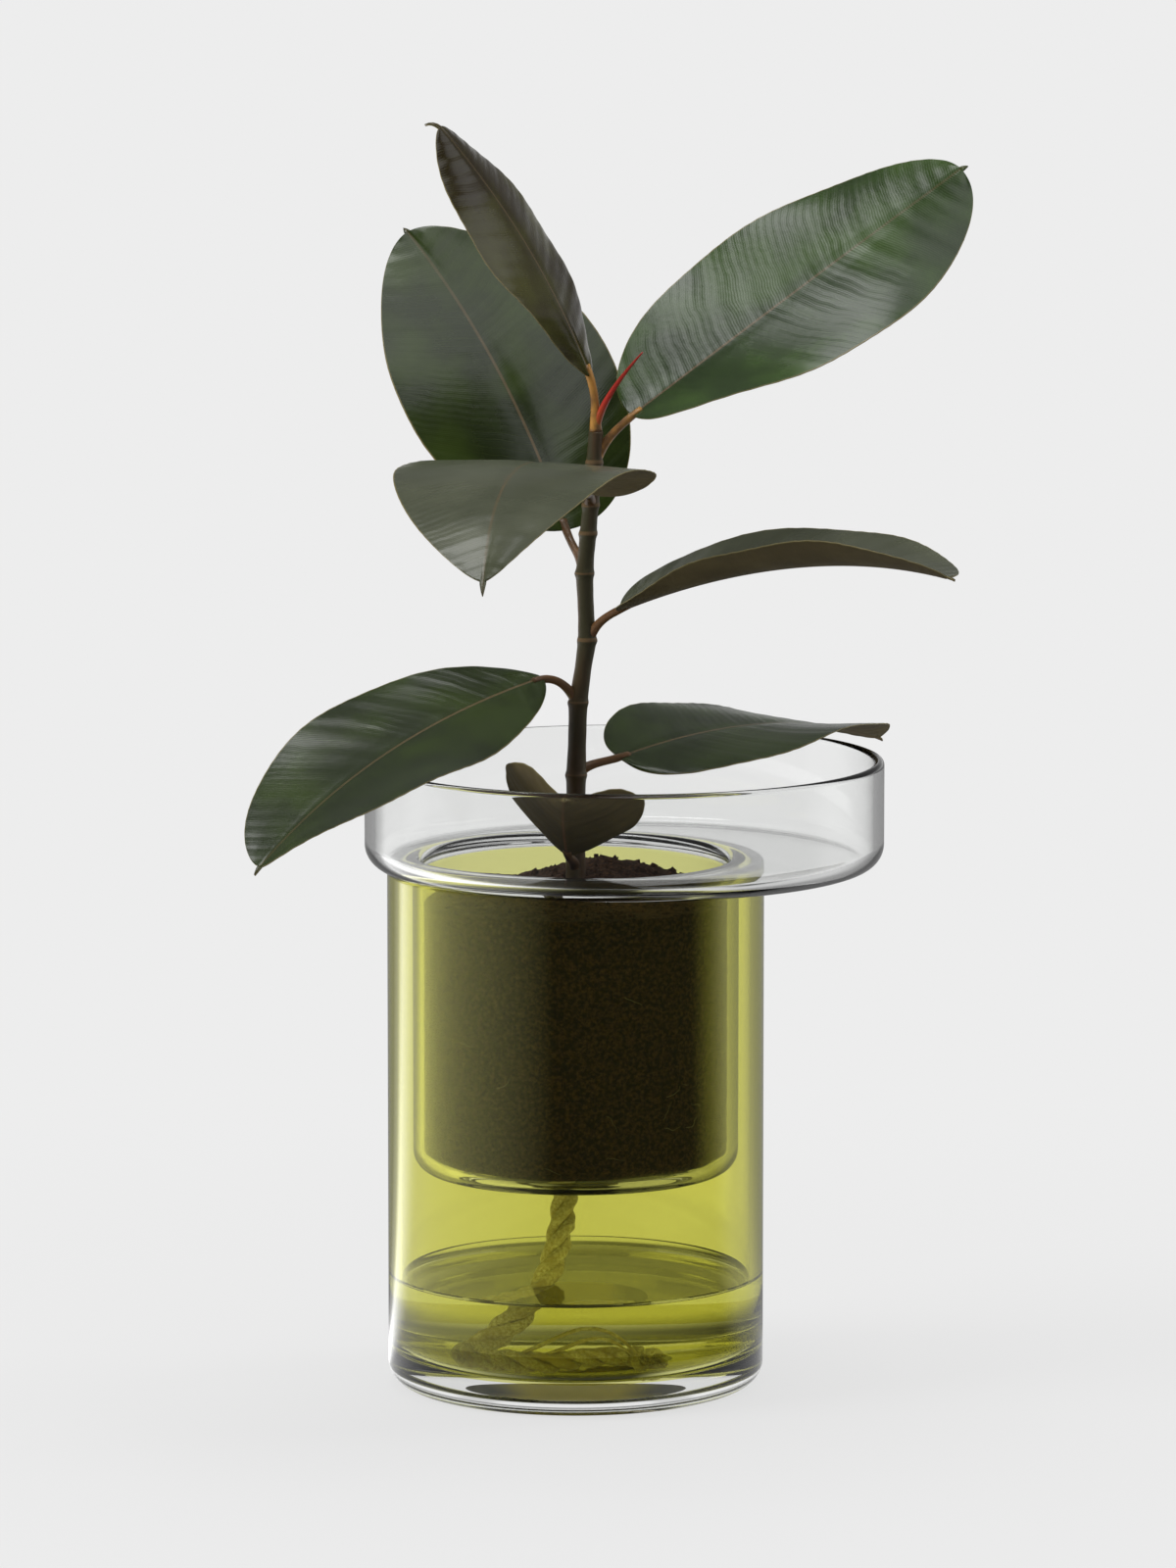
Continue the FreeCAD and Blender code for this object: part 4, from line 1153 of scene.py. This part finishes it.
sweep = finish_of("studio_floor", FLOOR_PAPER, 0.9, Specular_IOR_Level=0.0)
ray, off_glass, through, inside = kinds_of_ray(sweep)
ground = node(sweep, "NewGeometry").outputs["Position"]
to_right, to_back, _ = parts_of(sweep, ground)
distance = length_of(sweep, ground)
backward = number(sweep, "DIVIDE", to_back, distance)
behind = product(sweep, ramp(sweep, backward, *FLOOR_BEHIND), ramp(sweep, backward, *FLOOR_BACK))
to_left, to_front = product(sweep, to_right, -1.0), product(sweep, to_back, -1.0)
round_left = number(sweep, "ARCTAN2", to_left, to_front)
nearer = number(sweep, "SUBTRACT", round_left, CARD_FROM)
nearer = product(sweep, nearer, 1 / CARD_REACH, clamp=True)
card = product(sweep, nearer, ramp(sweep, round_left, *CARD_END))
streak = ramp(sweep, round_left, *STREAK_START)
streak = product(sweep, streak, ramp(sweep, round_left, *STREAK_END))
outside = number(sweep, "SUBTRACT", 1.0, ray["Is Transmission Ray"])
card = number(sweep, "ADD", card, product(sweep, streak, outside))
card = product(sweep, card, ramp(sweep, distance, *CARD_FAR))
rightward = ramp(sweep, number(sweep, "DIVIDE", to_right, distance), *PAPER_RIGHT)
paper = product(sweep, ramp(sweep, distance, *PAPER_NEAR), rightward)
card = number(sweep, "MAXIMUM", card, paper)
mirrored = product(sweep, off_glass, number(sweep, "MAXIMUM", behind, card))
# Painted shadow: through the glass, the floor's glow dims in a patch under the jar, a little to the
# right.
shade_way = node(sweep, "VectorMath", operation="ADD")
shade_way.inputs[1].default_value = (-SHADE_RIGHT, 0, 0)
wire(sweep, (ground, shade_way.inputs[0]))
shaded = ramp(sweep, length_of(sweep, shade_way.outputs[0]), *PAINTED_SHADOW_UNDER_JAR)
passed = product(sweep, through, number(sweep, "MAXIMUM", shaded, inside))
shown = number(sweep, "MAXIMUM", passed, ray["Is Camera Ray"])
seen = product(sweep, ray["Is Camera Ray"], ramp(sweep, distance, *SHADOW_FADE))
share = number(sweep, "MAXIMUM", through, off_glass)
share = number(sweep, "MAXIMUM", seen, share)
glow = node(sweep, "Emission")
glow.inputs[0].default_value = PALE
mixed = node(sweep, "MixShader")
last = sweep.node_tree.nodes["Material Output"]
wire(
    sweep, (number(sweep, "ADD", shown, mirrored), glow.inputs[1]),
    (share, mixed.inputs[0]), (shader_of(sweep).outputs[0], mixed.inputs[1]),
    (glow.outputs[0], mixed.inputs[2]), (mixed.outputs[0], last.inputs[0]),
)
corners = [(x * FLOOR_HALF, y * FLOOR_HALF, 0) for x, y in ((-1, -1), (1, -1), (1, 1), (-1, 1))]
floor = mesh_object("studio_floor", corners, [(0, 1, 2, 3)], sweep)
floor.location.z = -FLOOR_DROP

world = bpy.data.worlds.new("studio")
world.use_nodes = True
bpy.context.scene.world = world
backdrop = world.node_tree.nodes["Background"]
backdrop.inputs[0].default_value = (1, 1, 1, 1)
ray, off_glass, through, inside = kinds_of_ray(world)
direction = node(world, "TexCoord").outputs["Generated"]
rightward, backward, upward = parts_of(world, direction)
turn = number(world, "ARCTAN2", backward, rightward)
flags = number(world, "COSINE", product(world, turn, FLAGS))
flagged = product(world, ramp(world, upward, *OVERHEAD), ramp(world, flags, *FLAG_SHADE))
lit = number(world, "MAXIMUM", flagged, product(world, inside, LIGHT_INSIDE))
seen_through = product(world, lit, through)
blobs = product(world, ramp(world, backward, *ROOM_BEHIND), ramp(world, upward, *ROOM_ABOVE))
for aim, tight, wide, power in SOFT_SHINES:
    facing = node(world, "VectorMath", operation="DOT_PRODUCT")
    facing.inputs[1].default_value = Vector(aim).normalized()
    wire(world, (direction, facing.inputs[0]))
    shine = ramp(world, facing.outputs["Value"], wide, tight, 0.0, power)
    blobs = number(world, "MAXIMUM", blobs, shine)
outside = number(world, "SUBTRACT", 1.0, ray["Is Transmission Ray"])
within = product(world, ray["Is Transmission Ray"], ramp(world, backward, *ROOM_WITHIN))
mirrored = number(world, "ADD", product(world, outside, blobs), within)
mirrored = product(world, off_glass, mirrored)
smooth = number(world, "MAXIMUM", ray["Is Transmission Ray"], ray["Is Glossy Ray"])
plain = product(world, number(world, "SUBTRACT", 1.0, smooth), SURROUND_LIGHT)
strength = number(world, "ADD", number(world, "ADD", seen_through, mirrored), plain)
unseen = number(world, "SUBTRACT", 1.0, ray["Is Camera Ray"])
camera_seen = product(world, ray["Is Camera Ray"], PALE[0])
strength = number(world, "ADD", camera_seen, product(world, unseen, strength))
wire(world, (strength, backdrop.inputs[1]))


def soft_light(name, place, aim, width, height, power):
    """A soft light, which the glass and the leaves don't show: the surround shines in them."""
    light = bpy.data.lights.new(name, "AREA")
    light.shape = "RECTANGLE"
    light.size = width
    light.size_y = height
    light.energy = power
    lamp = bpy.data.objects.new(name, light)
    lamp.location = place
    lamp.rotation_euler = (Vector(aim) - Vector(place)).to_track_quat("-Z", "Y").to_euler()
    lamp.visible_glossy = False
    lamp.visible_transmission = False
    bpy.context.scene.collection.objects.link(lamp)


soft_light("left_softbox", (-1.9, -0.7, 1.25), (0, 0, 0.2), 1.1, 1.7, 40)
soft_light("right_softbox", (1.9, 0.6, 1.2), (0, 0, 0.25), 0.7, 1.5, 16)
soft_light("top_softbox", (0.1, 0.3, 2.2), (0, 0, 0.25), 1.3, 1.0, 26)
